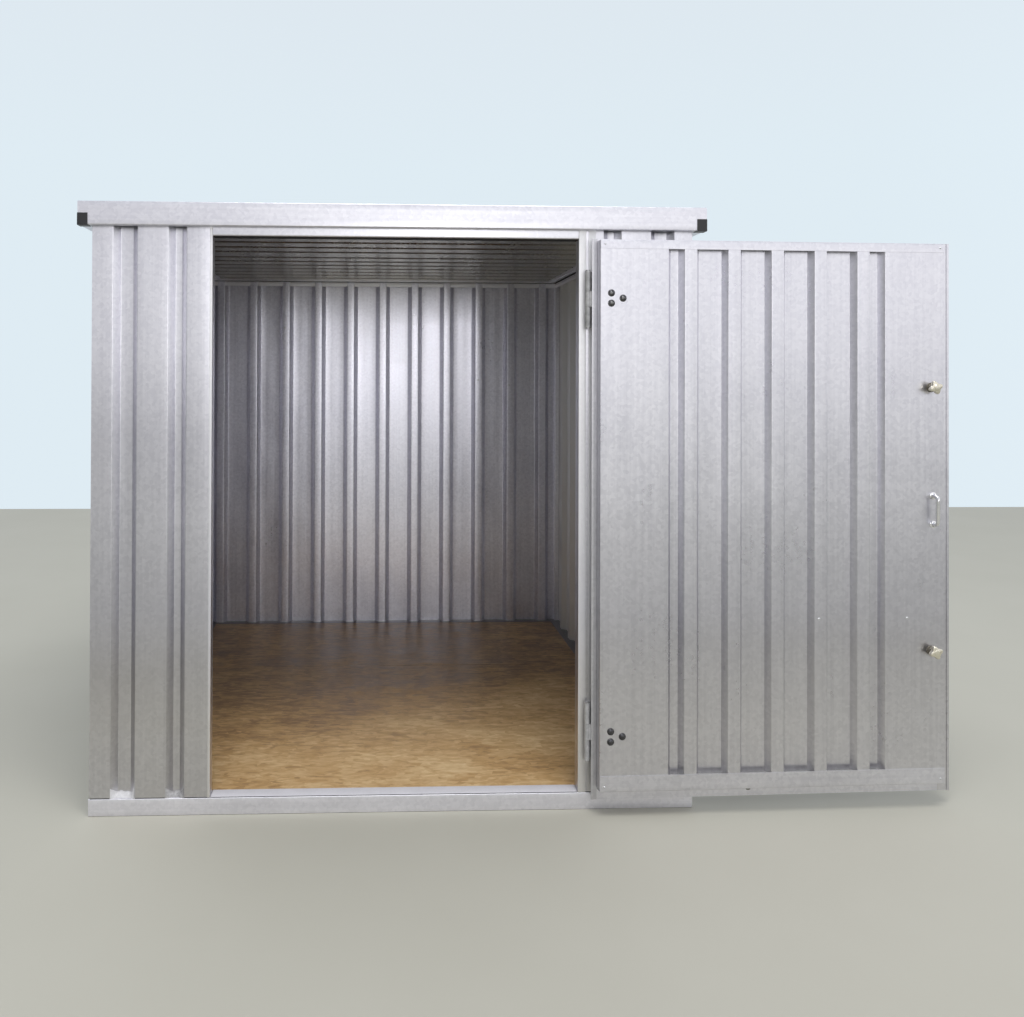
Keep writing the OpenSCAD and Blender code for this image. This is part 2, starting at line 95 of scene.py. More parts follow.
rng = random.Random(7)

# ------------------------------------------------------------ mesh helpers
BLO, BHI = [tuple(float(c) for c in v) for v in CAD_BOX]


def add_mesh(name, verts, faces, body, mat, replaces=(), sharp=32.0):
    me = bpy.data.meshes.new(name)
    me.from_pydata([tuple(min(max(v[k], BLO[k]), BHI[k]) for k in range(3)) for v in verts], [], faces)
    me.validate()
    bm = bmesh.new()
    bm.from_mesh(me)
    bmesh.ops.remove_doubles(bm, verts=bm.verts, dist=1e-7)
    bmesh.ops.recalc_face_normals(bm, faces=bm.faces)
    bm.to_mesh(me)
    bm.free()
    for p in me.polygons:
        p.use_smooth = True
    me.set_sharp_from_angle(angle=math.radians(sharp))
    ob = bpy.data.objects.new(name, me)
    bpy.context.scene.collection.objects.link(ob)
    me.materials.append(mat)
    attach(ob, body)
    if replaces:
        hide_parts(*replaces)
    return ob


def fillet(pts, r, seg=4, closed=False):
    """rounds the corners of a 2-D polyline; returns the points"""
    n = len(pts)
    P = [Vector(p) for p in pts]
    out = []
    for i in range(n):
        if not closed and i in (0, n - 1):
            out.append(P[i].copy())
            continue
        a, b, c = P[i - 1], P[i], P[(i + 1) % n]
        u, v = (b - a), (c - b)
        lu, lv = u.length, v.length
        u.normalize()
        v.normalize()
        dot = max(-1.0, min(1.0, u.dot(v)))
        ang = math.acos(dot)
        if ang < 1e-3:
            out.append(b.copy())
            continue
        t = min(r * math.tan(ang / 2), 0.45 * lu, 0.45 * lv)
        rr = t / math.tan(ang / 2)
        s = 1 if (u.x * v.y - u.y * v.x) > 0 else -1
        nrm = Vector((-u.y, u.x)) * s
        ctr = b - u * t + nrm * rr
        st = (b - u * t) - ctr
        for k in range(seg + 1):
            th = s * ang * k / seg
            out.append(ctr + Vector((st.x * math.cos(th) - st.y * math.sin(th), st.x * math.sin(th) + st.y * math.cos(th))))
    return out


def refine(pts, step, closed=False):
    """splits long stretches so that the sheet can carry slight waves; weight is 0 at bends, 1 mid-flat"""
    out, w = [], []
    n = len(pts)
    m = n if closed else n - 1
    for i in range(m):
        a, b = pts[i], pts[(i + 1) % n]
        L = (b - a).length
        k = max(1, int(round(L / step))) if L > step * 1.3 else 1
        for j in range(k):
            t = j / k
            out.append(a.lerp(b, t))
            w.append(math.sin(math.pi * t) * min(1.0, L / 0.08) if k > 1 else 0.0)
    if not closed:
        out.append(pts[-1].copy())
        w.append(0.0)
    return out, w


def offsets(pts, d, closed=False):
    """the line moved sideways by d, along its own normals"""
    n = len(pts)
    out = []
    for i in range(n):
        if closed:
            a, b, c = pts[i - 1], pts[i], pts[(i + 1) % n]
        else:
            a, b, c = pts[max(0, i - 1)], pts[i], pts[min(n - 1, i + 1)]
        u = (b - a)
        v = (c - b)
        if u.length < 1e-9:
            u = v
        if v.length < 1e-9:
            v = u
        u = u.normalized()
        v = v.normalized()
        nu, nv = Vector((-u.y, u.x)), Vector((-v.y, v.x))
        m = (nu + nv)
        if m.length < 1e-6:
            m = nu
        m.normalize()
        k = max(0.5, m.dot(nu))
        out.append(b + m * (d / k))
    return out


def centreline(face, t, closed=False):
    return offsets([Vector(p) for p in face], t / 2, closed)


class Wave:
    """a smooth, repeatable field of slight waves in sheet metal"""
    def __init__(self, seed, amp, lu=0.45, lw=0.8, n=7):
        r = random.Random(seed)
        self.c = []
        for i in range(n):
            self.c.append((r.uniform(0.5, 1.6) * 2 * math.pi / lu * r.choice((-1, 1)), r.uniform(0.4, 1.7) * 2 * math.pi / lw,
                           r.uniform(0, 6.28), r.uniform(0.5, 1.0)))
        self.a = amp / math.sqrt(n)

    def __call__(self, u, w):
        return self.a * sum(k * math.sin(a * u + b * w + p) for a, b, p, k in self.c)


def sheet_mesh(name, face, t, r, w0, w1, place, body, mat, replaces=(), closed=False, seg=4, step=0.035, nlen=1,
               wave=None, cut=None, sharp=32.0, ends=True):
    """a folded sheet: the face line with thickness t to its left, rounded bends, run from w0 to w1 and placed by place(u, v, w).
    cut(u, v, w01) may change w near the ends, for mitres."""
    c = fillet(centreline(face, t, closed), r + t / 2, seg, closed)
    c, wt = refine(c, step, closed)
    A = offsets(c, -t / 2, closed)
    B = offsets(c, t / 2, closed)
    n = len(c)
    # arc length for the wave
    s = [0.0]
    for i in range(1, n):
        s.append(s[-1] + (c[i] - c[i - 1]).length)
    nor = []
    for i in range(n):
        d = (B[i] - A[i])
        nor.append(d.normalized())
    verts, faces = [], []
    for j in range(nlen + 1):
        f = j / nlen
        for line in (A, B):
            for i in range(n):
                q = line[i]
                if wave is not None:
                    q = q + nor[i] * (wave(s[i], w0 + (w1 - w0) * f) * wt[i] * min(1.0, 6 * min(f, 1 - f) + 0.15))
                w = w0 + (w1 - w0) * f if cut is None else cut(q.x, q.y, f)
                verts.append(place(q.x, q.y, w))
    row = 2 * n
    m = n if closed else n - 1
    for j in range(nlen):
        b0, b1 = j * row, (j + 1) * row
        for i in range(m):
            k = (i + 1) % n
            faces.append((b0 + i, b0 + k, b1 + k, b1 + i))
            faces.append((b0 + n + k, b0 + n + i, b1 + n + i, b1 + n + k))
        if not closed:
            faces.append((b0 + n, b0, b1, b1 + n))
            faces.append((b0 + n - 1, b0 + 2 * n - 1, b1 + 2 * n - 1, b1 + n - 1))
    for j in ((0, nlen) if ends else ()):
        b0 = j * row
        for i in range(m):
            k = (i + 1) % n
            q = (b0 + i, b0 + n + i, b0 + n + k, b0 + k)
            faces.append(q if j == 0 else q[::-1])
    return add_mesh(name, verts, faces, body, mat, replaces, sharp)


def lathe(profile, place, n=28):
    """turns (radius, height) pairs about an axis; place(x, y, h). Returns verts and faces, closed on the axis."""
    verts, faces = [], []
    rings = []
    for r, h in profile:
        if r < 1e-7:
            rings.append([len(verts)])
            verts.append(place(0, 0, h))
        else:
            ring = []
            for k in range(n):
                a = 2 * math.pi * k / n
                ring.append(len(verts))
                verts.append(place(r * math.cos(a), r * math.sin(a), h))
            rings.append(ring)
    for a, b in zip(rings, rings[1:]):
        if len(a) == 1 and len(b) == 1:
            continue
        for k in range(n):
            l = (k + 1) % n
            if len(a) == 1:
                faces.append((a[0], b[l], b[k]))
            elif len(b) == 1:
                faces.append((a[k], a[l], b[0]))
            else:
                faces.append((a[k], a[l], b[l], b[k]))
    return verts, faces


def merge(parts):
    V, F = [], []
    for v, f in parts:
        o = len(V)
        V += [tuple(p) for p in v]
        F += [tuple(i + o for i in q) for q in f]
    return V, F


def rbox(lo, hi, r, place=None, seg=3, plane="xy"):
    """box with rounded upright edges and a small chamfer at both ends; upright direction is the one not in plane"""
    ax = {"xy": (0, 1, 2), "xz": (0, 2, 1), "yz": (1, 2, 0)}[plane]
    a0, a1, b0, b1, c0, c1 = lo[ax[0]], hi[ax[0]], lo[ax[1]], hi[ax[1]], lo[ax[2]], hi[ax[2]]
    ch = min(r * 0.5, (c1 - c0) * 0.3)

    def loop(ins):
        rr = max(r - ins, 1e-5)
        pts = []
        for cx, cy, s in ((a1 - r, b1 - r, 0), (a0 + r, b1 - r, 1), (a0 + r, b0 + r, 2), (a1 - r, b0 + r, 3)):
            for k in range(seg + 1):
                th = math.pi / 2 * (s + k / seg)
                pts.append((cx + rr * math.cos(th), cy + rr * math.sin(th)))
        return pts
    layers = [(loop(ch), c0), (loop(0), c0 + ch), (loop(0), c1 - ch), (loop(ch), c1)]
    V, F = [], []
    m = 4 * (seg + 1)
    for pts, h in layers:
        for p in pts:
            q = [0, 0, 0]
            q[ax[0]], q[ax[1]], q[ax[2]] = p[0], p[1], h
            V.append(place(*q) if place else tuple(q))
    for j in range(3):
        for i in range(m):
            k = (i + 1) % m
            F.append((j * m + i, j * m + k, (j + 1) * m + k, (j + 1) * m + i))
    F.append(tuple(range(m))[::-1])
    F.append(tuple(3 * m + i for i in range(m)))
    return V, F


# places for each side: (u along, v inward, w) to the world
def p_front(u, v, w):
    return (u, -WY + v, w)


def p_back(u, v, w):
    return (u, WY - v, w)


def p_left(u, v, w):
    return (-WX + v, u, w)


def p_right(u, v, w):
    return (WX - v, u, w)


def leaf(s, d, z):
    """leaf place: s away from the hinge axis, d inward when shut"""
    x, y = -s, d
    return (HX + x * CO - y * SO, HY + x * SO + y * CO, z)


# ------------------------------------------------------------ materials
def nodes_of(name):
    m = bpy.data.materials.new(name)
    m.use_nodes = True
    nt = m.node_tree
    for n in list(nt.nodes):
        nt.nodes.remove(n)
    out = nt.nodes.new("ShaderNodeOutputMaterial")
    bsdf = nt.nodes.new("ShaderNodeBsdfPrincipled")
    nt.links.new(bsdf.outputs[0], out.inputs[0])
    tc = nt.nodes.new("ShaderNodeTexCoord")
    return m, nt, bsdf, tc


def mapping(nt, tc, scale, rot=(0, 0, 0), loc=(0, 0, 0)):
    n = nt.nodes.new("ShaderNodeMapping")
    n.inputs["Scale"].default_value = scale
    n.inputs["Rotation"].default_value = rot
    n.inputs["Location"].default_value = loc
    nt.links.new(tc.outputs["Object"], n.inputs["Vector"])
    return n


def noise(nt, vec, scale, detail=3.0, rough=0.55, dist=0.0):
    n = nt.nodes.new("ShaderNodeTexNoise")
    n.inputs["Scale"].default_value = scale
    n.inputs["Detail"].default_value = detail
    n.inputs["Roughness"].default_value = rough
    n.inputs["Distortion"].default_value = dist
    nt.links.new(vec, n.inputs["Vector"])
    return n


def ramp(nt, fac, stops):
    n = nt.nodes.new("ShaderNodeValToRGB")
    cr = n.color_ramp
    while len(cr.elements) < len(stops):
        cr.elements.new(0.5)
    for e, (p, c) in zip(cr.elements, stops):
        e.position = p
        e.color = c if len(c) == 4 else (*c, 1)
    nt.links.new(fac, n.inputs["Fac"])
    return n


def math_node(nt, op, a, b=None, c=None):
    n = nt.nodes.new("ShaderNodeMath")
    n.operation = op
    for i, x in enumerate((a, b, c)):
        if x is None:
            continue
        if isinstance(x, (int, float)):
            n.inputs[i].default_value = x
        else:
            nt.links.new(x, n.inputs[i])
    return n.outputs[0]


def mix_col(nt, fac, a, b, mode="MIX"):
    n = nt.nodes.new("ShaderNodeMix")
    n.data_type = "RGBA"
    n.blend_type = mode
    for sock, x in ((n.inputs[0], fac), (n.inputs[6], a), (n.inputs[7], b)):
        if isinstance(x, (int, float)):
            sock.default_value = x
        elif isinstance(x, (tuple, list)):
            sock.default_value = (*x, 1) if len(x) == 3 else x
        else:
            nt.links.new(x, sock)
    return n.outputs[2]


def galvanised(name, dark=(0.605, 0.602, 0.657), light=(0.775, 0.770, 0.818), rough=0.27, grain="z", spread=0.08, bump=0.30, height_tint=None, metal=0.96,
               height_tint_colours=((0.23, 0.20, 0.110), (0.20, 0.195, 0.235)), inside=None, recess=None,
               room_face_lightening=None):
    m, nt, b, tc = nodes_of(name)
    b.inputs["Metallic"].default_value = metal
    long_scale = {"z": (70, 70, 1.1), "x": (1.1, 70, 70), "y": (70, 1.1, 70)}[grain]
    streak = noise(nt, mapping(nt, tc, long_scale).outputs[0], 1.0, 4, 0.6)
    cloud = noise(nt, mapping(nt, tc, (1, 1, 1)).outputs[0], 3.2, 3, 0.5)
    fine = noise(nt, mapping(nt, tc, (1, 1, 1)).outputs[0], 260, 2, 0.5)
    vor = nt.nodes.new("ShaderNodeTexVoronoi")
    vor.inputs["Scale"].default_value = 95
    nt.links.new(mapping(nt, tc, (1, 1, 1)).outputs[0], vor.inputs["Vector"])
    sp = nt.nodes.new("ShaderNodeSeparateColor")
    nt.links.new(vor.outputs["Color"], sp.inputs[0])
    spang = sp.outputs[0]
    f = math_node(nt, "MULTIPLY", streak.outputs["Fac"], 0.45)
    f = math_node(nt, "MULTIPLY_ADD", cloud.outputs["Fac"], 0.35, f)
    f = math_node(nt, "MULTIPLY_ADD", spang, 0.20, f)
    col = ramp(nt, f, [(0.30, dark), (0.72, light)]).outputs["Color"]
    if recess or room_face_lightening:
        sn = nt.nodes.new("ShaderNodeSeparateXYZ")
        nt.links.new(tc.outputs["Normal"], sn.inputs[0])
    if height_tint or inside or recess:
        sep = nt.nodes.new("ShaderNodeSeparateXYZ")
        nt.links.new(tc.outputs["Object"], sep.inputs[0])
    if height_tint:
        # a darker tint mixed in by height, warm low down and bluish higher up: pairs of height in metres and strength
        g = ramp(nt, math_node(nt, "MULTIPLY", sep.outputs["Z"], 0.5), [(z / 2.0, (v, v, v)) for z, v in height_tint]).outputs["Color"]
        g = math_node(nt, "MULTIPLY", g, math_node(nt, "MULTIPLY_ADD", cloud.outputs["Fac"], 0.8, 0.6))
        warm = ramp(nt, math_node(nt, "MULTIPLY", sep.outputs["Z"], 0.5), [(0.15, height_tint_colours[0]), (0.35, height_tint_colours[1])]).outputs["Color"]
        col = mix_col(nt, g, col, warm)
    if recess:
        # the underside only: duller, with an olive tint that is painted reflection of the floor, and painted shade in
        # the raised ribs
        under = math_node(nt, "LESS_THAN", sn.outputs["Z"], 0.0)
        col = mix_col(nt, math_node(nt, "MULTIPLY", under, 0.90), col, (0.475, 0.47, 0.41))
        g = math_node(nt, "MULTIPLY", math_node(nt, "GREATER_THAN", sep.outputs["Z"], LEDGE_Z + recess), under)
        col = mix_col(nt, math_node(nt, "MULTIPLY", g, 0.22), col, (0.25, 0.30, 0.40))
    if room_face_lightening:
        # painted light: the faces turned into the room are duller, with a lighter colour and less metal
        g = math_node(nt, "MULTIPLY_ADD", sn.outputs["X"], -4.0, 0.0)
        g = math_node(nt, "MINIMUM", math_node(nt, "MAXIMUM", g, 0.0), 1.0)
        col = mix_col(nt, math_node(nt, "MULTIPLY", g, 0.92), col, room_face_lightening[0])
        nt.links.new(math_node(nt, "MULTIPLY_ADD", g, room_face_lightening[1] - metal, metal), b.inputs["Metallic"])
    if inside:
        # painted shade: near black, brownish, on what lies inside the walls
        g = math_node(nt, "MAXIMUM", math_node(nt, "ABSOLUTE", sep.outputs["X"]), math_node(nt, "ABSOLUTE", sep.outputs["Y"]))
        g = math_node(nt, "LESS_THAN", g, inside)
        col = mix_col(nt, math_node(nt, "MULTIPLY", g, 0.82), col, (0.085, 0.070, 0.050))
    nt.links.new(col, b.inputs["Base Color"])
    r = math_node(nt, "MULTIPLY_ADD", cloud.outputs["Fac"], spread, rough - spread * 0.5)
    r = math_node(nt, "MULTIPLY_ADD", streak.outputs["Fac"], spread * 0.6, r)
    r = math_node(nt, "MULTIPLY_ADD", spang, spread * 0.5, r)
    nt.links.new(r, b.inputs["Roughness"])
    h = math_node(nt, "MULTIPLY", fine.outputs["Fac"], 0.25)
    h = math_node(nt, "MULTIPLY_ADD", spang, 0.20, h)
    h = math_node(nt, "MULTIPLY_ADD", streak.outputs["Fac"], 0.55, h)
    bp = nt.nodes.new("ShaderNodeBump")
    bp.inputs["Strength"].default_value = bump
    bp.inputs["Distance"].default_value = 0.0003
    nt.links.new(h, bp.inputs["Height"])
    nt.links.new(bp.outputs[0], b.inputs["Normal"])
    return m


def plain(name, colour, rough, metallic=0.0, vary=0.12, scale=60.0, bump=0.2, dist=0.0003, spec=None, coat=None):
    m, nt, b, tc = nodes_of(name)
    b.inputs["Metallic"].default_value = metallic
    if spec is not None:
        b.inputs["Specular IOR Level"].default_value = spec
    if coat is not None:
        b.inputs["Coat Weight"].default_value = coat
        b.inputs["Coat Roughness"].default_value = 0.2
    n1 = noise(nt, mapping(nt, tc, (1, 1, 1)).outputs[0], scale, 4, 0.6)
    n2 = noise(nt, mapping(nt, tc, (1, 1, 1)).outputs[0], scale * 0.13, 3, 0.5)
    f = math_node(nt, "MULTIPLY_ADD", n2.outputs["Fac"], 0.5, math_node(nt, "MULTIPLY", n1.outputs["Fac"], 0.5))
    lo = tuple(c * (1 - vary) for c in colour)
    hi = tuple(min(1, c * (1 + vary)) for c in colour)
    nt.links.new(ramp(nt, f, [(0.3, lo), (0.7, hi)]).outputs["Color"], b.inputs["Base Color"])
    nt.links.new(math_node(nt, "MULTIPLY_ADD", f, 0.2, rough - 0.1), b.inputs["Roughness"])
    bp = nt.nodes.new("ShaderNodeBump")
    bp.inputs["Strength"].default_value = bump
    bp.inputs["Distance"].default_value = dist
    nt.links.new(n1.outputs["Fac"], bp.inputs["Height"])
    nt.links.new(bp.outputs[0], b.inputs["Normal"])
    return m


def strand_board(name):
    """pressed strand board with a worn clear seal"""
    m, nt, b, tc = nodes_of(name)
    cols, ids = [], []
    warp = noise(nt, mapping(nt, tc, (1, 1, 1)).outputs[0], 9, 2, 0.5)
    layers = [(0.45, (17, 56, 1), (0, 0, 0)), (-0.60, (20, 66, 1), (3.1, 1.7, 0)), (1.25, (30, 60, 1), (7.3, 4.1, 0))]
    for rot, sc, loc in layers:
        mp = mapping(nt, tc, sc, (0, 0, rot), loc)
        ad = nt.nodes.new("ShaderNodeVectorMath")
        ad.operation = "MULTIPLY_ADD"
        nt.links.new(warp.outputs["Color"], ad.inputs[0])
        ad.inputs[1].default_value = (1.6, 1.6, 0)
        nt.links.new(mp.outputs[0], ad.inputs[2])
        v = nt.nodes.new("ShaderNodeTexVoronoi")
        v.inputs["Scale"].default_value = 1.0
        nt.links.new(ad.outputs[0], v.inputs["Vector"])
        s = nt.nodes.new("ShaderNodeSeparateColor")
        nt.links.new(v.outputs["Color"], s.inputs[0])
        g = noise(nt, mapping(nt, tc, (sc[0] * 1.2, sc[1] * 9, 1), (0, 0, rot), loc).outputs[0], 1.0, 3, 0.6)
        val = math_node(nt, "MULTIPLY_ADD", g.outputs["Fac"], 0.45, math_node(nt, "MULTIPLY", s.outputs[0], 0.65))
        cols.append(val)
        ids.append(s.outputs[1])
    pick1 = math_node(nt, "GREATER_THAN", ids[0], 0.52)
    pick2 = math_node(nt, "GREATER_THAN", ids[1], 0.50)
    mx = nt.nodes.new("ShaderNodeMix")
    mx.data_type = "FLOAT"
    nt.links.new(pick2, mx.inputs[0])
    nt.links.new(cols[1], mx.inputs[2])
    nt.links.new(cols[2], mx.inputs[3])
    mx2 = nt.nodes.new("ShaderNodeMix")
    mx2.data_type = "FLOAT"
    nt.links.new(pick1, mx2.inputs[0])
    nt.links.new(mx.outputs[0], mx2.inputs[2])
    nt.links.new(cols[0], mx2.inputs[3])
    val = mx2.outputs[0]
    cloud = noise(nt, mapping(nt, tc, (0.8, 1.7, 1)).outputs[0], 2.6, 4, 0.6)
    sep = nt.nodes.new("ShaderNodeSeparateXYZ")
    nt.links.new(tc.outputs["Object"], sep.inputs[0])
    # painted light: a pale wedge on the boards towards the doorway, between two diagonal painted shadow edges
    yy = math_node(nt, "MULTIPLY_ADD", sep.outputs["X"], 0.30, sep.outputs["Y"])
    y2 = math_node(nt, "MULTIPLY_ADD", sep.outputs["X"], -0.45, sep.outputs["Y"])
    big = noise(nt, mapping(nt, tc, (1.1, 2.3, 1), (0, 0, 0.15)).outputs[0], 3.4, 3, 0.6, 0.6)
    yy = math_node(nt, "MULTIPLY_ADD", big.outputs["Fac"], 0.26, math_node(nt, "ADD", yy, -0.13))
    y2 = math_node(nt, "MULTIPLY_ADD", big.outputs["Fac"], 0.30, math_node(nt, "ADD", y2, -0.15))
    # painted light: paler towards the front left
    near = ramp(nt, math_node(nt, "MULTIPLY_ADD", yy, 0.5, 0.5), [(0.0, (0.215, 0.215, 0.215)), (0.26, (0.205, 0.205, 0.205)), (0.45, (0.16, 0.16, 0.16)), (0.8, (0.12, 0.12, 0.12))]).outputs["Color"]
    # painted shade towards the back left, beyond a second diagonal edge
    painted_shadow_edge = ramp(nt, math_node(nt, "MULTIPLY_ADD", y2, 0.5, 0.5), [(0.27, (0.0, 0.0, 0.0)), (0.38, (0.105, 0.105, 0.105)), (0.9, (0.135, 0.135, 0.135))]).outputs["Color"]
    near = math_node(nt, "SUBTRACT", near, painted_shadow_edge)
    mid = noise(nt, mapping(nt, tc, (1.0, 2.4, 1), (0, 0, 0.1)).outputs[0], 15, 4, 0.62, 1.2)
    f = math_node(nt, "MULTIPLY_ADD", cloud.outputs["Fac"], 0.55, math_node(nt, "MULTIPLY", val, 0.28))
    f = math_node(nt, "MULTIPLY_ADD", mid.outputs["Fac"], 0.46, f)
    f = math_node(nt, "ADD", f, math_node(nt, "SUBTRACT", near, 0.24))
    col = ramp(nt, f, [(0.20, (0.15, 0.082, 0.032)), (0.40, (0.34, 0.200, 0.085)), (0.58, (0.57, 0.355, 0.155)), (0.80, (0.78, 0.565, 0.310)), (1.0, (0.90, 0.73, 0.48))]).outputs["Color"]
    nt.links.new(col, b.inputs["Base Color"])
    b.inputs["Specular IOR Level"].default_value = 0.5
    r = math_node(nt, "MULTIPLY_ADD", cloud.outputs["Fac"], 0.22, 0.26)
    r = math_node(nt, "MULTIPLY_ADD", val, 0.10, r)
    nt.links.new(r, b.inputs["Roughness"])
    bp = nt.nodes.new("ShaderNodeBump")
    bp.inputs["Strength"].default_value = 0.35
    bp.inputs["Distance"].default_value = 0.0006
    nt.links.new(val, bp.inputs["Height"])
    nt.links.new(bp.outputs[0], b.inputs["Normal"])
    return m


LEDGE_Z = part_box("roof_sheet_front")[0][2]
M_WALL = galvanised("galvanised_wall", grain="z", height_tint=[(0.0, 0.24), (0.25, 0.29), (0.5, 0.42), (0.75, 0.34), (1.0, 0.17), (1.3, 0.22), (1.6, 0.0)])
# painted light: the back wall is a lighter, less metallic copy of the wall sheet
M_BACK = galvanised("galvanised_back", grain="z", rough=0.27, metal=0.82, dark=(0.66, 0.66, 0.745), light=(0.88, 0.88, 0.965))
M_SIDE = galvanised("galvanised_side", grain="z", rough=0.30, height_tint=[(0.0, 0.12), (0.25, 0.15), (0.5, 0.20), (0.75, 0.17), (1.0, 0.10), (1.3, 0.08), (1.6, 0.0)],
                    room_face_lightening=((0.87, 0.88, 0.86), 0.62))
M_DOOR = galvanised("galvanised_door", grain="z", rough=0.26, height_tint=[(0.0, 0.14), (0.3, 0.20), (0.6, 0.36), (0.85, 0.20), (1.1, 0.0)])
# painted shade: a darker copy of the sheet, for the leaf's hinge-side overlap strip
M_STRIP = galvanised("galvanised_strip", grain="z", rough=0.32, dark=(0.47, 0.468, 0.50), light=(0.60, 0.597, 0.63))
# painted highlight: a near-white, half-metal copy of the sheet, for the jamb hems and the pale strip behind the leaf
M_HEM = galvanised("galvanised_hem_painted_highlight", grain="z", rough=0.42, metal=0.45, dark=(0.88, 0.875, 0.91), light=(0.97, 0.965, 0.99),
                   height_tint=[(0.0, 0.47), (0.4, 0.47), (0.8, 0.34), (1.3, 0.16), (1.6, 0.0)])
# painted light: the wall rails are a near-white, less metallic copy of the sheet
M_RAILB = galvanised("galvanised_rail", grain="x", rough=0.36, metal=0.80, dark=(0.91, 0.91, 0.97), light=(0.96, 0.96, 1.0))
M_RAILX = galvanised("galvanised_fold_x", grain="x", rough=0.28)
M_RAILY = galvanised("galvanised_fold_y", grain="y", rough=0.28)
M_FRAMEX = galvanised("galvanised_frame_x", grain="x", rough=0.38, metal=0.72, dark=(0.67, 0.665, 0.71), light=(0.81, 0.80, 0.845))
M_FRAMEB = galvanised("galvanised_frame_b", grain="x", rough=0.38, metal=0.72, dark=(0.67, 0.665, 0.71), light=(0.81, 0.80, 0.845), inside=1.0425)
M_FRAMEY = galvanised("galvanised_frame_y", grain="y", rough=0.38, metal=0.72, dark=(0.67, 0.665, 0.71), light=(0.81, 0.80, 0.845), inside=1.0425)
M_BAND = galvanised("galvanised_band", grain="x", rough=0.28)
M_POST = galvanised("galvanised_post", grain="z", rough=0.30)
# the roof sheets: recess sets the painted reflection and painted shade on their underside
M_ROOF = galvanised("galvanised_roof", grain="x", rough=0.25, spread=0.03, bump=0.10, dark=(0.56, 0.557, 0.60), light=(0.70, 0.696, 0.735), recess=0.0022)
M_ZINC = plain("zinc_plate", (0.43, 0.43, 0.435), 0.50, 0.35, 0.50, 45)
M_PIN = plain("pin_steel", (0.42, 0.42, 0.43), 0.30, 1.0, 0.10, 120)
M_BOLT = plain("bolt_dark", (0.085, 0.085, 0.09), 0.26, 0.9, 0.35, 160)
# painted highlight, for the tops of the upper bolts
M_BOLTC = plain("bolt_painted_highlight", (0.20, 0.20, 0.20), 0.34, 0.9, 0.30, 160)
M_CAP = plain("cap_plastic", (0.018, 0.018, 0.020), 0.45, 0.0, 0.20, 200)
M_SEAL = plain("seal_rubber", (0.016, 0.016, 0.017), 0.65, 0.0, 0.25, 200)
M_BRASS = plain("knob_brass", (0.72, 0.68, 0.57), 0.28, 1.0, 0.12, 140)
M_CHROME = plain("fitting_plated", (0.78, 0.78, 0.79), 0.16, 1.0, 0.05, 140, 0.08)
M_SCREW = plain("screw_zinc", (0.66, 0.67, 0.69), 0.32, 1.0, 0.12, 220)
M_PLUG = plain("rib_plug", (0.64, 0.635, 0.65), 0.55, 0.0, 0.22, 110, 0.6, 0.0006)
M_PLUG2 = plain("rib_plug_worn", (0.36, 0.355, 0.36), 0.55, 0.0, 0.55, 110, 0.6, 0.0006)
M_SILL = plain("sill_worn", (0.80, 0.785, 0.83), 0.50, 0.10, 0.06, 120, 0.15)
# painted shade under the leaf's bottom trim, and the colour of its drain plug
M_JOINT = plain("shade_line_and_plug_grey", (0.13, 0.13, 0.11), 0.60, 0.0, 0.25, 160)
M_CLOSE = plain("closure_grey", (0.34, 0.335, 0.33), 0.50, 0.30, 0.20, 120)
# painted shade: the knobs' washer and hub are dark, for the grip's shadow on them
M_STEM = plain("knob_stem", (0.16, 0.145, 0.12), 0.42, 0.5, 0.25, 140)
M_BOARD = strand_board("strand_board")

# ------------------------------------------------------------ walls
SL, DEP = 0.020, 0.025


def rib_line(x0, x1, start, n, pitch, w):
    pts = [(x0, 0.0)]
    for i in range(n):
        a = start + i * pitch
        pts += [(a, 0), (a + SL, DEP), (a + w - SL, DEP), (a + w, 0)]
    pts.append((x1, 0.0))
    return pts


FR = ((0.256, 0.083), (0.088, 0.063))      # front ribs, from the doorway edge: start, width
WP, WW = 0.191, 0.080
NB = 10
back_start = -((NB - 1) * WP + WW) / 2


def wall(name, line, place, node, seed, amp=0.0005, mat=None):
    return sheet_mesh(name, line, T, 0.0035, BASE, WTOP, place, "cabin", mat or M_WALL, (node,), nlen=30,
                      wave=Wave(seed, amp))


def front_line(j):
    pts = [(-WX, 0.0)]
    for st, w in FR:
        a = -j - st - w
        pts += [(a, 0), (a + SL, DEP), (a + w - SL, DEP), (a + w, 0)]
    return pts + [(-j, 0.0), (-j, 0.016)]


wall("wall_front_left", front_line(JL), p_front, "front_panel_left", 11)
wall("wall_front_right", front_line(JR), lambda u, v, w: p_front(-u, v, w), "front_panel_right", 12)

def p_back_lean(u, v, w):
    # the sheet's top is drawn in a little under the rail
    return p_back(u, v + 0.0026 * max(0.0, (w - 1.80) / (WTOP - 1.80)) ** 2, w)


wall("wall_back", rib_line(-WX, WX, -(NB * WP + WW) / 2 - 0.017, NB + 1, WP, WW), p_back_lean, "back_wall", 13, 0.0006, M_BACK)
wall("wall_left", rib_line(-WY + T, WY - T, back_start, NB, WP, WW), p_left, "left_wall", 14)
wall("wall_right", rib_line(-WY + T, WY - T, back_start, NB, WP, WW), p_right, "right_wall", 15, mat=M_SIDE)

# ------------------------------------------------------------ floor frame
FT = 0.002
FLANGE = 0.056
BASE_LINE = [(0.040, 0.0), (0.0, 0.0), (0.0, BASE), (FLANGE, BASE), (FLANGE, 0.038), (FLANGE + 0.030, 0.038)]


def base(name, node, h, half, place2, mat):
    # section (inward, up) -> place2(u along, inward, up); thickness lies inside the fold
    def pl(a, b, w):
        return place2(w, a, b)
    c = [(x, z) for x, z in BASE_LINE]
    ob = sheet_mesh(name, c, -FT, 0.0025, -half, half, pl, "cabin", mat, (node,), nlen=24, step=0.02,
                    wave=Wave(hash_seed(name), 0.00025, 0.3, 1.1), seg=4)
    return ob


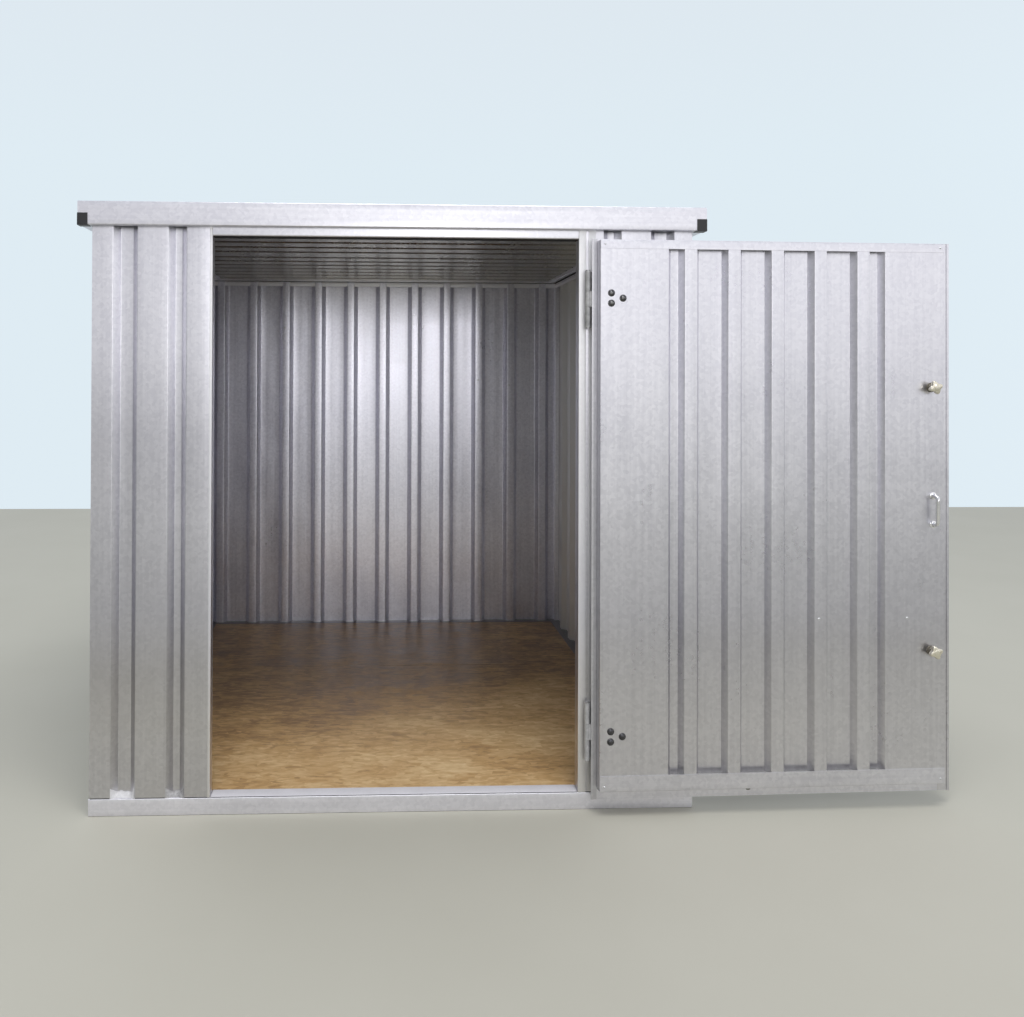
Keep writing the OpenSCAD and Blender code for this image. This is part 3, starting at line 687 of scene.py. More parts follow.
def hash_seed(s):
    return sum(ord(c) * (i + 1) for i, c in enumerate(s)) % 9973


base("base_front", "floor_frame_front", HD, HW, lambda u, a, z: (u, -HD + a, z), M_FRAMEX)
base("base_back", "floor_frame_back", HD, HW, lambda u, a, z: (u, HD - a, z), M_FRAMEB)
IY = HD - FLANGE
base("base_left", "floor_frame_left", HW, IY, lambda u, a, z: (-HW + a, u, z), M_FRAMEY)
base("base_right", "floor_frame_right", HW, IY, lambda u, a, z: (HW - a, u, z), M_FRAMEY)
# closing plates at the frame's four corners
for sx in (-1, 1):
    for sy in (-1, 1):
        lo = (min(sx * HW, sx * (HW - 0.002)), min(sy * HD, sy * (HD - FLANGE)) + 0.0005, 0.0005)
        hi = (max(sx * HW, sx * (HW - 0.002)), max(sy * HD, sy * (HD - FLANGE)) - 0.0005, BASE - 0.0006)
        V, F = rbox(lo, hi, 0.003, plane="yz")
        add_mesh("base_end_%s%s" % ("lr"[sx > 0], "fb"[sy > 0]), V, F, "cabin", M_FRAMEY)

# ------------------------------------------------------------ floor
for node, nm in (("floor_board_front", "board_front"), ("floor_board_back", "board_back")):
    lo, hi = bx(node)
    V, F = rbox(tuple(lo), tuple(hi), 0.002)
    add_mesh(nm, V, F, "cabin", M_BOARD, (node,))

# ------------------------------------------------------------ posts and lintel
for node in ("corner_post_front_left", "corner_post_front_right", "corner_post_back_left", "corner_post_back_right",
             "door_post_left", "door_post_right"):
    lo, hi = bx(node)
    if node == "door_post_left":
        hi.x -= 0.0014
    if node == "door_post_right":
        lo.x += 0.0014
    line = [(lo.x, lo.y), (hi.x, lo.y), (hi.x, hi.y), (lo.x, hi.y)]
    sheet_mesh(node + "_tube", line, 0.002, 0.003, lo.z, hi.z, lambda u, v, w: (u, v, w), "cabin", M_POST,
               (node,), closed=True, nlen=20, step=0.03, wave=Wave(hash_seed(node), 0.0002, 0.2, 0.9))
lo, hi = bx("door_lintel")
line = [(lo.y, lo.z), (hi.y, lo.z), (hi.y, hi.z), (lo.y, hi.z)]
sheet_mesh("lintel", line, 0.002, 0.0025, lo.x + 0.0006, hi.x - 0.0006, lambda u, v, w: (w, u, v), "cabin", M_RAILX,
           ("door_lintel",), closed=True, nlen=24, step=0.03, wave=Wave(31, 0.0002, 0.2, 0.9))

# ------------------------------------------------------------ wall rails
lo, hi = bx("top_rail_front")
RAIL_IN = -hi.y            # inner plane
RAIL_Z0, RAIL_Z1 = lo.z, hi.z
RAIL_OUT = -lo.y
RAIL_SIDE = hi.x           # inner plane of the other three rails
# section given as (distance from centre, height); placed on each side
for nm, node, half, pl in (
        ("rail_front", "top_rail_front", RAIL_SIDE, lambda a, z, w: (w, -a, z)),
        ("rail_back", "top_rail_back", RAIL_SIDE, lambda a, z, w: (w, a, z)),
        ("rail_left", "top_rail_left", WY, lambda a, z, w: (-a - HW + HD, w, z)),
        ("rail_right", "top_rail_right", WY, lambda a, z, w: (a + HW - HD, w, z))):
    inn = RAIL_IN if nm == "rail_front" else RAIL_SIDE
    # the hanging lip leans back a little at its lower edge
    rl = [(RAIL_OUT, RAIL_Z1 - 0.019), (RAIL_OUT, RAIL_Z1), (inn, RAIL_Z1), (inn + 0.0020, RAIL_Z0)]

    def cut(a, z, f, half=half, side=nm in ("rail_left", "rail_right")):
        if side and a < RAIL_SIDE + 0.0015 and z < RAIL_Z1 - 0.0008:
            return -(RAIL_IN - 0.0013) + (RAIL_IN + RAIL_SIDE - 0.0026) * f
        return -half + 2 * half * f
    sheet_mesh(nm, rl, 0.0012, 0.0025, -half, half, pl, "cabin", M_RAILB,
               (node,), nlen=24, step=0.02, cut=cut, wave=Wave(hash_seed(nm), 0.0003, 0.3, 0.9))

# ------------------------------------------------------------ roof frame
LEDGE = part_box("roof_sheet_front")[0][2]
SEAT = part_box("roof_seal")[1][2]


def band(name, node, o, half, h, pl, mat, seed):
    t = 0.0015
    a = o + HW - WX - 0.0012 - 0.001
    b = o + FLANGE - 0.001
    c = b + 0.030
    t2 = t
    # outer skin: seat of the bottom flange, face, top
    outer = [(a, BAND0), (0, BAND0), (0, TOP), (c, TOP)]
    inner = [(b - 0.042, SEAT), (b, SEAT), (b, TOP - t)]
    ledge = [(b, LEDGE - t), (c, LEDGE - t)]

    def cut(u, v, f):
        hh = half - u
        return -hh + 2 * hh * f
    fr = sheet_mesh(name + "_face", outer, -t2, 0.003, -half, half, lambda u, z, w: pl(w, u, z), "cabin", mat, (node,), nlen=30,
                    step=0.02, cut=cut, wave=Wave(seed, 0.0005, 0.25, 1.0))
    sheet_mesh(name + "_inner", [(b - 0.042, SEAT), (b, SEAT), (b, TOP - t)], t2, 0.002, -half, half, lambda u, z, w: pl(w, u, z),
               "cabin", mat, (), nlen=24, step=0.02, cut=cut, wave=Wave(seed + 1, 0.0003, 0.25, 1.0))
    sheet_mesh(name + "_ledge", [(b + 0.0002, LEDGE - t - 0.008), (b + 0.0002, LEDGE - t), (c, LEDGE - t)], t2, 0.002, -half, half,
               lambda u, z, w: pl(w, u, z), "cabin", mat, (), nlen=24, step=0.02, cut=cut)


band("band_front", "roof_frame_front", RY - HD, RX, RY, lambda w, u, z: (w, -RY + u, z), M_BAND, 41)
band("band_back", "roof_frame_back", RY - HD, RX, RY, lambda w, u, z: (w, RY - u, z), M_RAILX, 43)
band("band_left", "roof_frame_left", RX - HW, RY, RX, lambda w, u, z: (-RX + u, w, z), M_RAILY, 45)
band("band_right", "roof_frame_right", RX - HW, RY, RX, lambda w, u, z: (RX - u, w, z), M_RAILY, 47)

# ------------------------------------------------------------ roof sheets
ROOF_H = 0.007
for node, nm, seed in (("roof_sheet_front", "roof_front", 51), ("roof_sheet_back", "roof_back", 52)):
    lo, hi = bx(node)
    pts = [(lo.y, 0.0)]
    RP, RW, RS = 0.136, 0.044, 0.014
    st = (lo.y + hi.y) / 2 - (6 * RP + RW) / 2
    for i in range(7):
        a = st + i * RP
        pts += [(a, 0), (a + RS, ROOF_H), (a + RW - RS, ROOF_H), (a + RW, 0)]
    pts.append((hi.y, 0.0))
    sheet_mesh(nm, pts, T, 0.003, lo.x, hi.x, lambda u, v, w, z=lo.z: (w, u, z + v), "cabin", M_ROOF, (node,), nlen=30,
               wave=Wave(seed, 0.0006, 0.4, 0.9))

# ------------------------------------------------------------ corner caps
def cap(sx, sy):
    CW, CH = 0.036, 0.040
    # L-shaped skin in plan round the corner, with a bottom plate; rounded corner
    x1, y1 = RX + 0.002, RY + 0.002
    line = [(x1 - CW, y1), (x1, y1), (x1, y1 - CW)]
    return line, x1, y1, CW, CH


parts = []
for sx in (-1, 1):
    for sy in (-1, 1):
        line, x1, y1, CW, CH = cap(sx, sy)
        z0, z1 = BAND0 - 0.002, BAND0 + CH
        c = fillet([Vector(p) for p in line], 0.004, 5)
        n = len(c)
        inner = offsets(c, -0.002)
        V, F = [], []
        for z, grow in ((z0, -0.0008), (z0 + 0.0012, 0.0), (z1 - 0.0012, 0.0), (z1, -0.0008)):
            for k, p in enumerate(offsets(c, grow) if grow else c):
                V.append((sx * p.x, sy * p.y, z))
        for k in range(3):
            for i in range(n - 1):
                F.append((k * n + i, k * n + i + 1, (k + 1) * n + i + 1, (k + 1) * n + i))
        o = len(V)
        for z in (z0 + 0.0020, z1):
            for p in inner:
                V.append((sx * p.x, sy * p.y, z))
        for i in range(n - 1):
            F.append((o + i + 1, o + i, o + n + i, o + n + i + 1))
            F.append((3 * n + i, 3 * n + i + 1, o + n + i + 1, o + n + i))
        # ends of the legs
        for i, s in ((0, 1), (n - 1, -1)):
            q = (i, n + i, 2 * n + i, 3 * n + i, o + n + i, o + i)
            F.append(q if s > 0 else q[::-1])
        # bottom plate, outside and inside
        oc = len(V)
        V.append((sx * (x1 - CW), sy * (y1 - CW), z0))
        V.append((sx * (x1 - CW), sy * (y1 - CW), z0 + 0.002))
        for i in range(n - 1):
            F.append((i + 1, i, oc))
            F.append((o + i, o + i + 1, oc + 1))
        F.append((0, o, oc + 1, oc))
        F.append((o + n - 1, n - 1, oc, oc + 1))
        parts.append((V, F))
V, F = merge(parts)
add_mesh("corner_caps", V, F, "cabin", M_CAP, ("roof_corner_caps",))

# ------------------------------------------------------------ door leaf
T16 = 0.0016
FS, FW_, RPI, RWI, GR, GS = 0.2695, 0.7725, 0.154, 0.044, 0.024, 0.014


def leaf_rib(i):
    c = FS + FW_ / 2 + (i - 2) * RPI
    return c - RWI / 2, c + RWI / 2


pts = [(B0, LF), (FS, LF)]
prev = FS
for i in range(5):
    a, b = leaf_rib(i)
    pts += [(prev + GS, LF - GR), (a - GS, LF - GR), (a, LF), (b, LF)]
    prev = b
pts += [(prev + GS, LF - GR), (FS + FW_ - GS, LF - GR), (FS + FW_, LF), (B1, LF)]
sheet_mesh("leaf_sheet", pts, -T, 0.0035, BZ0 + T16, BZ1 - T16, leaf, "door", M_DOOR, ("door_sheet",), nlen=30,
           wave=Wave(61, 0.0006, 0.5, 0.8))
for nm, node, sa, sb, la, lb in (("stile_hinge", "door_stile_hinge", B0, FS - 0.003, B0 + 0.0002, S0),
                                 ("stile_lock", "door_stile_lock", FS + FW_ + 0.003, B1, B1 - 0.0002, S1)):
    line = [(sa, LO), (sb, LO), (sb, LF - T), (sa, LF - T)]
    sheet_mesh(nm + "_box", line, 0.0015, 0.003, BZ0 + T16, BZ1 - T16, leaf, "door", M_DOOR, (node,), closed=True, nlen=24,
               wave=Wave(hash_seed(nm) + 5, 0.0004, 0.4, 0.8))
    # overlap strip, hemmed back on itself at its free edge
    dr = 1 if lb > la else -1
    line = [(la, LO), (lb, LO), (lb, LO + 0.0030), (lb - dr * 0.009, LO + 0.0030)]
    sheet_mesh(nm + "_strip", line, 0.0012 * dr, 0.0007, LZ0, LZ1, leaf, "door", M_STRIP if lb < la else M_DOOR, (), nlen=24, step=0.02,
               wave=Wave(hash_seed(nm), 0.0003, 0.3, 0.8))
for nm, node, up in (("leaf_rail_top", "door_rail_top", False), ("leaf_rail_bottom", "door_rail_bottom", True)):
    if up:
        line = [(LO + T16, LZ0), (LO + T16, BZ0), (LIN, BZ0), (LIN, BZ0 + 0.055)]
    else:
        line = [(LO + T16, LZ1), (LO + T16, BZ1), (LIN, BZ1), (LIN, BZ1 - 0.0295)]
    sheet_mesh(nm, line, 0.0014 if up else -0.0014, 0.002, B0 + 0.0004, B1 - 0.0004, lambda u, v, w: leaf(w, u, v), "door", M_RAILX,
               (node,), nlen=24, step=0.02, wave=Wave(hash_seed(nm), 0.0003, 0.3, 0.9))

# ------------------------------------------------------------ fittings on the leaf
def on_leaf_in(s, z, d=LF):
    return lambda x, y, h: leaf(s + x, d + h, z + y)


def on_leaf_out(s, z, d=LO):
    return lambda x, y, h: leaf(s + x, d - h, z + y)


# bolt heads: dark dome with a washer, inside; carriage heads on the strap, outside
HINGES = [(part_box("hinge_strap_top")[0][2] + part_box("hinge_strap_top")[1][2]) / 2,
          (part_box("hinge_strap_bottom")[0][2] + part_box("hinge_strap_bottom")[1][2]) / 2]
parts = []
for zc in HINGES:
    for s, dz in ((0.0685, 0.0175), (0.0685, -0.0175), (0.109, 0.0)):
        pf = [(0, 0.0052), (0.003, 0.0050), (0.0058, 0.0044), (0.0078, 0.0034), (0.0086, 0.0022), (0.0090, 0.0015), (0.0118, 0.0013), (0.0124, 0.0009),
              (0.0125, 0.0), (0, 0.0)]
        parts.append(lathe(pf, on_leaf_in(s, zc + dz)))
        pf = [(0, 0.0042), (0.003, 0.0040), (0.006, 0.0032), (0.0082, 0.0018), (0.0088, 0.0006), (0.0088, 0.0), (0, 0.0)]
        parts.append(lathe(pf, on_leaf_out(s, zc + dz, LO - 0.004)))
V, F = merge(parts)
add_mesh("strap_bolts", V, F, "door", M_BOLT, ("hinge_bolts",))
# painted highlight: bright caps on the tops of the upper three
V, F = merge([lathe([(0, 0.0057), (0.0025, 0.0055), (0.0044, 0.0050), (0.0052, 0.0044), (0.0050, 0.0040), (0, 0.0040)], on_leaf_in(s + dx, HINGES[0] + dz, LF), 20)
              for s, dz, dx in ((0.0685, 0.0175, -0.001), (0.0685, -0.0165, 0.001), (0.109, 0.001, -0.001))])
add_mesh("bolt_tops", V, F, "door", M_BOLTC)

KS = S1 - 0.094
KZ = [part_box("lock_covers")[1][2] - 0.022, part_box("lock_covers")[0][2] + 0.022]


def star_knob(place, r=0.0245, n=96, turn=0.35):
    """four-lobed turn knob: washer, hub and a lobed grip with rounded rims"""
    V, F = [], []
    prof = [(0.62, 0.0180, 0.55), (0.86, 0.0184, 0.9), (0.96, 0.0200, 1.0), (1.0, 0.0230, 1.0), (1.0, 0.0265, 1.0), (0.97, 0.0295, 1.0),
            (0.90, 0.0315, 0.95), (0.78, 0.0322, 0.8), (0.56, 0.0326, 0.4), (0.42, 0.0330, 0.0), (0.36, 0.0345, 0.0), (0.20, 0.0350, 0.0)]
    for k, h, lob in prof:
        for i in range(n):
            a = 2 * math.pi * i / n
            lobe = 0.5 + 0.5 * math.cos(4 * (a - turn))
            rr = r * k * (1.0 - 0.34 * lob * (1 - lobe) ** 0.8)
            V.append(place(rr * math.cos(a), rr * math.sin(a), h))
    for j in range(len(prof) - 1):
        for i in range(n):
            l = (i + 1) % n
            F.append((j * n + i, j * n + l, (j + 1) * n + l, (j + 1) * n + i))
    F.append(tuple(range(n))[::-1])
    F.append(tuple((len(prof) - 1) * n + i for i in range(n)))
    stem = lathe([(0, 0.019), (0.0092, 0.019), (0.0094, 0.0100), (0.0102, 0.0060), (0.0118, 0.0042), (0.0160, 0.0030), (0.0170, 0.0018), (0.0170, 0.0),
                 (0, 0.0)], place, 36)
    return (V, F), stem


V, F = merge([star_knob(on_leaf_in(KS, z))[0] for z in KZ])
add_mesh("knobs_turned", V, F, "door", M_BRASS, ("knobs",))
# painted shade: washer and hub in the dark stem colour
V, F = merge([star_knob(on_leaf_in(KS, z))[1] for z in KZ])
add_mesh("knob_stems", V, F, "door", M_STEM)

parts = []
for z in KZ:
    pf = [(0, 0.0110), (0.0095, 0.0110), (0.0118, 0.0102), (0.0126, 0.0085), (0.0128, 0.0062), (0.0150, 0.0052), (0.0200, 0.0044), (0.0216, 0.0030),
          (0.0220, 0.0010), (0.0220, 0.0), (0, 0)]
    parts.append(lathe(pf, on_leaf_out(KS, z), 36))
V, F = merge(parts)
add_mesh("lock_escutcheons", V, F, "door", M_CHROME, ("lock_covers",))


def bow(place, length=0.100, h=0.027, r=0.005, e=0.014):
    """bent-rod pull: path in (z, h), round section swelling at the feet"""
    path = []
    zt = length / 2
    path.append((Vector((0, 0.0)), 1.9))
    path.append((Vector((0, 0.0028)), 1.9))
    path.append((Vector((0, 0.0042)), 1.25))
    path.append((Vector((0, 0.007)), 1.02))
    path.append((Vector((0, h - e)), 1.0))
    for k in range(1, 9):
        a = math.pi / 2 * k / 8
        path.append((Vector((-(e - e * math.cos(a)), h - e + e * math.sin(a))), 1.0))
    m = 14
    for k in range(1, m):
        path.append((Vector((-e - (length - 2 * e) * k / m, h)), 1.0 + 0.10 * math.sin(math.pi * k / m)))
    for k in range(0, 8):
        a = math.pi / 2 * (1 - k / 8)
        path.append((Vector((-(length - (e - e * math.cos(a))), h - e + e * math.sin(a))), 1.0))
    path += [(Vector((-length, h - e)), 1.0), (Vector((-length, 0.007)), 1.02), (Vector((-length, 0.0042)), 1.25), (Vector((-length, 0.0028)), 1.9),
             (Vector((-length, 0.0)), 1.9)]
    V, F = [], []
    N = 20
    P = [(Vector((zt + p.x, p.y)), k) for p, k in path]
    for i, (p, k) in enumerate(P):
        a = P[max(0, i - 1)][0]
        b = P[min(len(P) - 1, i + 1)][0]
        if i in (0, 1, 2, 3, len(P) - 1, len(P) - 2, len(P) - 3, len(P) - 4):
            t = Vector((0, 1.0)) if i < 4 else Vector((0, -1.0))
        else:
            t = (b - a).normalized()
        nrm = Vector((-t.y, t.x))
        for j in range(N):
            th = 2 * math.pi * j / N
            cx = math.cos(th) * r * k * (1.0 if k > 1.2 else 0.95)
            cn = math.sin(th) * r * k
            q = p + nrm * cn
            V.append(place(cx, q.x, q.y))
    for i in range(len(P) - 1):
        for j in range(N):
            l = (j + 1) % N
            F.append((i * N + j, i * N + l, (i + 1) * N + l, (i + 1) * N + j))
    F.append(tuple(range(N))[::-1])
    F.append(tuple((len(P) - 1) * N + j for j in range(N)))
    return V, F


PS = KS + 0.007
PZ = (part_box("door_pull_inside")[0][2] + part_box("door_pull_inside")[1][2]) / 2
V, F = bow(on_leaf_in(PS, PZ), h=0.0262, r=0.0066)
add_mesh("pull_inside", V, F, "door", M_CHROME, ("door_pull_inside",))
V, F = bow(on_leaf_out(PS, PZ))
add_mesh("pull_outside", V, F, "door", M_CHROME, ("door_pull_outside",))

# ------------------------------------------------------------ small fixings
def hex_screw(place, r=0.0045, h=0.0038, washer=0.0075):
    V, F = [], []
    prof = [(washer, 0.0, 24), (washer, 0.0006, 24), (washer * 0.93, 0.0012, 24)]
    pv, pf = lathe([(washer, 0.0), (washer, 0.0006), (washer * 0.92, 0.0012), (r * 1.05, 0.0013), (0, 0.0013)], place, 24)
    parts = [(pv, pf)]
    v, f = [], []
    for h0, rr in ((0.0012, r), (h - 0.0006, r), (h, r * 0.86)):
        for k in range(6):
            a = math.pi / 3 * k + 0.2
            v.append(place(rr * math.cos(a), rr * math.sin(a), h0))
    for j in range(2):
        for k in range(6):
            l = (k + 1) % 6
            f.append((j * 6 + k, j * 6 + l, (j + 1) * 6 + l, (j + 1) * 6 + k))
    f.append(tuple(12 + k for k in range(6)))
    f.append(tuple(range(6))[::-1])
    parts.append((v, f))
    return merge(parts)


def rivet(place, r=0.0045, h=0.0022):
    return lathe([(0, h), (r * 0.45, h * 0.97), (r * 0.8, h * 0.7), (r, h * 0.25), (r * 1.02, 0.0), (0, 0)], place, 16)


parts = []
# foot of the back and side walls
for k in range(NB + 1):
    u = -(NB * WP) / 2 + k * WP
    u = max(-WX + 0.03, min(WX - 0.03, u))
    for z in (BASE + 0.022,):
        parts.append(rivet(lambda x, y, h, u=u, z=z: (u + x, WY + h, z + y)))
        parts.append(rivet(lambda x, y, h, u=u, z=z: (-WX - h, u + x, z + y)))
        parts.append(rivet(lambda x, y, h, u=u, z=z: (WX + h, u + x, z + y)))
V, F = merge(parts)
add_mesh("wall_rivets", V, F, "cabin", M_SCREW)

parts = []
for z in (BZ0 + 0.018, BZ1 - 0.014):
    for s in (B0 + 0.016, B1 - 0.016):
        parts.append(rivet(lambda x, y, h, s=s, z=z: leaf(s + x, LIN + h, z + y), 0.0035))
V, F = merge(parts)
add_mesh("leaf_rivets", V, F, "door", M_SCREW)


# small pressed dimples that catch the light: on the leaf, and on the back wall's ribs
DIMPLE = [(0, 0.0013), (0.0016, 0.0012), (0.0032, 0.0008), (0.0044, 0.0003), (0.0050, 0.0), (0, 0)]
V, F = merge([lathe(DIMPLE, on_leaf_in(s, z), 16) for s, z in ((0.8031, 0.6705), (1.1203, 0.6697))])
add_mesh("leaf_dimples", V, F, "door", M_SCREW)
V, F = merge([lathe(DIMPLE, lambda x, y, h, u=u, z=z: (u + 1.3 * x, WY - DEP - T + 0.0002 - h, z + 1.3 * y), 16) for u, z in ((0.552, 1.4924), (0.737, 1.4631), (-0.598, 1.797))])
add_mesh("wall_dimples", V, F, "cabin", M_SCREW)


def leaf_box(s0, s1, d0, d1, z0, z1, r):
    return rbox((s0, d0, z0), (s1, d1, z1), r, place=leaf, plane="yz")


# closing strips inside the leaf's grooves, just under the trims' edges
V, F = merge([leaf_box(FS + 0.004, FS + FW_ - 0.004, LF - GR + 0.0004, LF - 0.0022, BZ0 + 0.046, BZ0 + 0.0475, 0.0005),
              leaf_box(FS + 0.004, FS + FW_ - 0.004, LF - GR + 0.0004, LF - 0.0022, BZ1 - 0.0245, BZ1 - 0.023, 0.0005)])
add_mesh("leaf_closures", V, F, "door", M_CLOSE)
# painted shade: a dark line under the bottom trim; and a drain plug
parts = [leaf_box(B0 + 0.002, B1 - 0.002, LO + 0.0018, LO + 0.0062, BZ0 - 0.0052, BZ0 - 0.0002, 0.0008)]
parts.append(lathe([(0, 0.0012), (0.0036, 0.0011), (0.0048, 0.0006), (0.0050, 0.0), (0, 0)], lambda x, y, h: leaf(0.5695 + x * 1.7, LO + 0.0016 + h, 0.0715 + y), 20))
V, F = merge(parts)
add_mesh("leaf_shade_line_and_plug", V, F, "door", M_JOINT)

# painted shade: a black strip under the head of the doorway; and folded hems along the jambs
HEAD_SHADE_T = 0.0016
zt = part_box("door_lintel")[0][2]
V, F = rbox((-JL + 0.0002, -WY + 0.006, zt - HEAD_SHADE_T), (JR - 0.0002, -WY + 0.046, zt - 0.0002), 0.0006, plane="yz")
add_mesh("doorway_shade_strip", V, F, "cabin", M_SEAL)
for nm, sg, j in (("hem_left", -1, JL), ("hem_right", 1, JR)):
    x0, x1 = sg * j, sg * (j + (0.0092 if sg < 0 else 0.0262))
    line = [(x1, -WY + 0.0002), (x1, -WY - 0.0012), (x0, -WY - 0.0020), (x0, -WY + 0.0030)]
    sheet_mesh(nm, line, 0.0009 * -sg, 0.0010, BASE + 0.0015, WTOP - 0.002, lambda u, v, w: (u, v, w), "cabin", M_HEM, (), nlen=30,
               wave=Wave(hash_seed(nm), 0.0002, 0.1, 0.9), step=0.01)

# painted light: a pale strip on the front panel, behind the leaf's hinge edge, where the leaf's shade falls
V, F = rbox((JR + 0.0340, -WY - 0.0012, BASE + 0.004), (JR + 0.0600, -WY + 0.0002, WTOP - 0.004), 0.0005, plane="yz")
add_mesh("pale_strip_painted_light", V, F, "cabin", M_HEM)

# worn sill plate on the floor frame's front flange
V, F = rbox((-JL + 0.002, -HD + 0.0050, BASE + 0.0001), (JR - 0.002, -HD + 0.0545, BASE + 0.0016), 0.0007, plane="yz")
add_mesh("sill_plate", V, F, "cabin", M_SILL)

# soft plugs in the feet of the front grooves
def plug(x0, x1, sg, seed):
    """a pressed-in filler: fills the groove's foot, higher at its two sides"""
    r = random.Random(seed)
    nx, nz = 22, 10
    V, F = [], []
    for j in range(nz + 1):
        for i in range(nx + 1):
            f = i / nx
            u = x0 + (x1 - x0) * f
            hgt = 0.012 + 0.026 * (abs(2 * f - 1) ** 2.2) + 0.004 * math.sin(9 * f + seed) + 0.002 * math.sin(23 * f + seed * 2)
            z = BASE + hgt * j / nz
            slope = min(1.0, min(f, 1 - f) * (x1 - x0) / SL)
            depth = DEP * slope
            bulge = 0.5 + 0.5 * math.cos(math.pi * min(1.0, j / nz))
            d = max(0.0005, depth * (1 - 0.55 * bulge) - 0.001)
            d -= 0.0035 * math.sin(math.pi * f) * (1 - j / nz) * bulge
            V.append((sg * u, -WY + min(d, depth + 0.0001) - 0.0008 - 0.0006 * math.sin(31 * f + 7 * j), z))
    m = nx + 1
    for j in range(nz):
        for i in range(nx):
            F.append((j * m + i, j * m + i + 1, (j + 1) * m + i + 1, (j + 1) * m + i))
    # back face, against the sheet
    o = len(V)
    for j in range(nz + 1):
        for i in range(nx + 1):
            f = i / nx
            slope = min(1.0, min(f, 1 - f) * (x1 - x0) / SL)
            v = V[j * m + i]
            V.append((v[0], -WY + DEP * slope + 0.0002, v[2]))
    for j in range(nz):
        for i in range(nx):
            F.append((o + j * m + i + 1, o + j * m + i, o + (j + 1) * m + i, o + (j + 1) * m + i + 1))
    for i in range(nx):
        F.append((i + 1, i, o + i, o + i + 1))
        F.append((nz * m + i, nz * m + i + 1, o + nz * m + i + 1, o + nz * m + i))
    for j in range(nz):
        F.append((j * m, (j + 1) * m, o + (j + 1) * m, o + j * m))
        F.append(((j + 1) * m + nx, j * m + nx, o + j * m + nx, o + (j + 1) * m + nx))
    return V, F


for k, (st, w) in enumerate(FR):
    V, F = merge([plug(j + st, j + st + w, sg, seed) for sg, j, seed in ((-1, JL, 3 + k), (1, JR, 8 + k))])
    add_mesh("groove_plugs_%d" % k, V, F, "cabin", (M_PLUG, M_PLUG2)[k], sharp=60)

# painted shade: black strips under the feet of the front panels, and along the front of the sill
parts = []
for sg, j in ((-1, JL), (1, JR)):
    for a, b in ((0.001, FR[1][0] - 0.001), (sum(FR[1]) + 0.002, FR[0][0] - 0.002), (sum(FR[0]) + 0.002, WX - j - 0.004)):
        x0, x1 = sorted((sg * (j + a), sg * (j + b)))
        parts.append(rbox((x0, -WY - 0.0009, BASE + 0.0001), (x1, -WY + 0.0006, BASE + 0.0024), 0.0005, plane="yz"))
parts.append(rbox((-JL + 0.002, -HD + 0.0012, BASE + 0.00005), (JR - 0.002, -HD + 0.0050, BASE + 0.0009), 0.0004, plane="yz"))
V, F = merge(parts)
add_mesh("foot_shade_strips", V, F, "cabin", M_SEAL)

# ------------------------------------------------------------ carried-over nodes
def give(node, mat):
    ob = NODES[node]
    if not ob.material_slots:
        ob.data.materials.append(mat)
    for s in ob.material_slots:
        s.material = mat


give("floor_joists", M_RAILY)
give("roof_seal", M_SEAL)
for n in ("hinge_frame_top", "hinge_frame_bottom", "hinge_strap_top", "hinge_strap_bottom"):
    give(n, M_ZINC)
give("hinge_pins", M_PIN)

# ------------------------------------------------------------ stage, light, camera
def stage_plane():
    me = bpy.data.meshes.new("ground")
    s = 40.0
    me.from_pydata([(-s, -s, -0.0004), (s, -s, -0.0004), (s, 5.7, -0.0004), (-s, 5.7, -0.0004)], [], [(0, 1, 2, 3)])
    ob = bpy.data.objects.new("ground", me)
    bpy.context.scene.collection.objects.link(ob)
    m, nt, b, tc = nodes_of("ground_pale")
    n = noise(nt, mapping(nt, tc, (1, 1, 1)).outputs[0], 1.5, 3, 0.5)
    nt.links.new(ramp(nt, n.outputs["Fac"], [(0.3, (0.475, 0.460, 0.395)), (0.7, (0.490, 0.475, 0.410))]).outputs["Color"], b.inputs["Base Color"])
    b.inputs["Roughness"].default_value = 0.8
    me.materials.append(m)


stage_plane()

def studio_world():
    """soft surroundings: brightest low down in front, paler to the left, a pale backdrop behind"""
    world = bpy.data.worlds.new("studio")
    bpy.context.scene.world = world
    world.use_nodes = True
    nt = world.node_tree
    bg = nt.nodes["Background"]
    tc = nt.nodes.new("ShaderNodeTexCoord")
    sep = nt.nodes.new("ShaderNodeSeparateXYZ")
    nt.links.new(tc.outputs["Generated"], sep.inputs[0])
    # angle to the right of straight out of the doorway, in turns from 0 (left rear) to 1
    az = math_node(nt, "ARCTAN2", sep.outputs["X"], math_node(nt, "MULTIPLY", sep.outputs["Y"], -1.0))
    az = math_node(nt, "MULTIPLY_ADD", az, 0.5 / math.pi, 0.5)
    el = math_node(nt, "MULTIPLY", math_node(nt, "ARCSINE", sep.outputs["Z"]), 180.0 / math.pi)

    def grey(v, tint=(0.985, 0.99, 1.0)):
        return tuple(v * t for t in tint)
    side = []
    for deg, v in AROUND:
        side.append((0.5 + deg / 360.0, grey(v / 2.0, (0.82, 0.93, 1.0) if abs(deg) > 110 else (0.985, 0.985, 1.0))))
    low = ramp(nt, az, side).outputs["Color"]
    e01 = math_node(nt, "MULTIPLY", el, 1.0 / 90.0)
    e01 = math_node(nt, "MAXIMUM", e01, 0.0)
    f = ramp(nt, e01, [(p / 90.0, (v, v, v)) for p, v in UPWARD]).outputs["Color"]
    col = mix_col(nt, f, low, tuple(c / 2.0 for c in ZENITH))
    nt.links.new(col, bg.inputs["Color"])
    bg.inputs["Strength"].default_value = 2.0


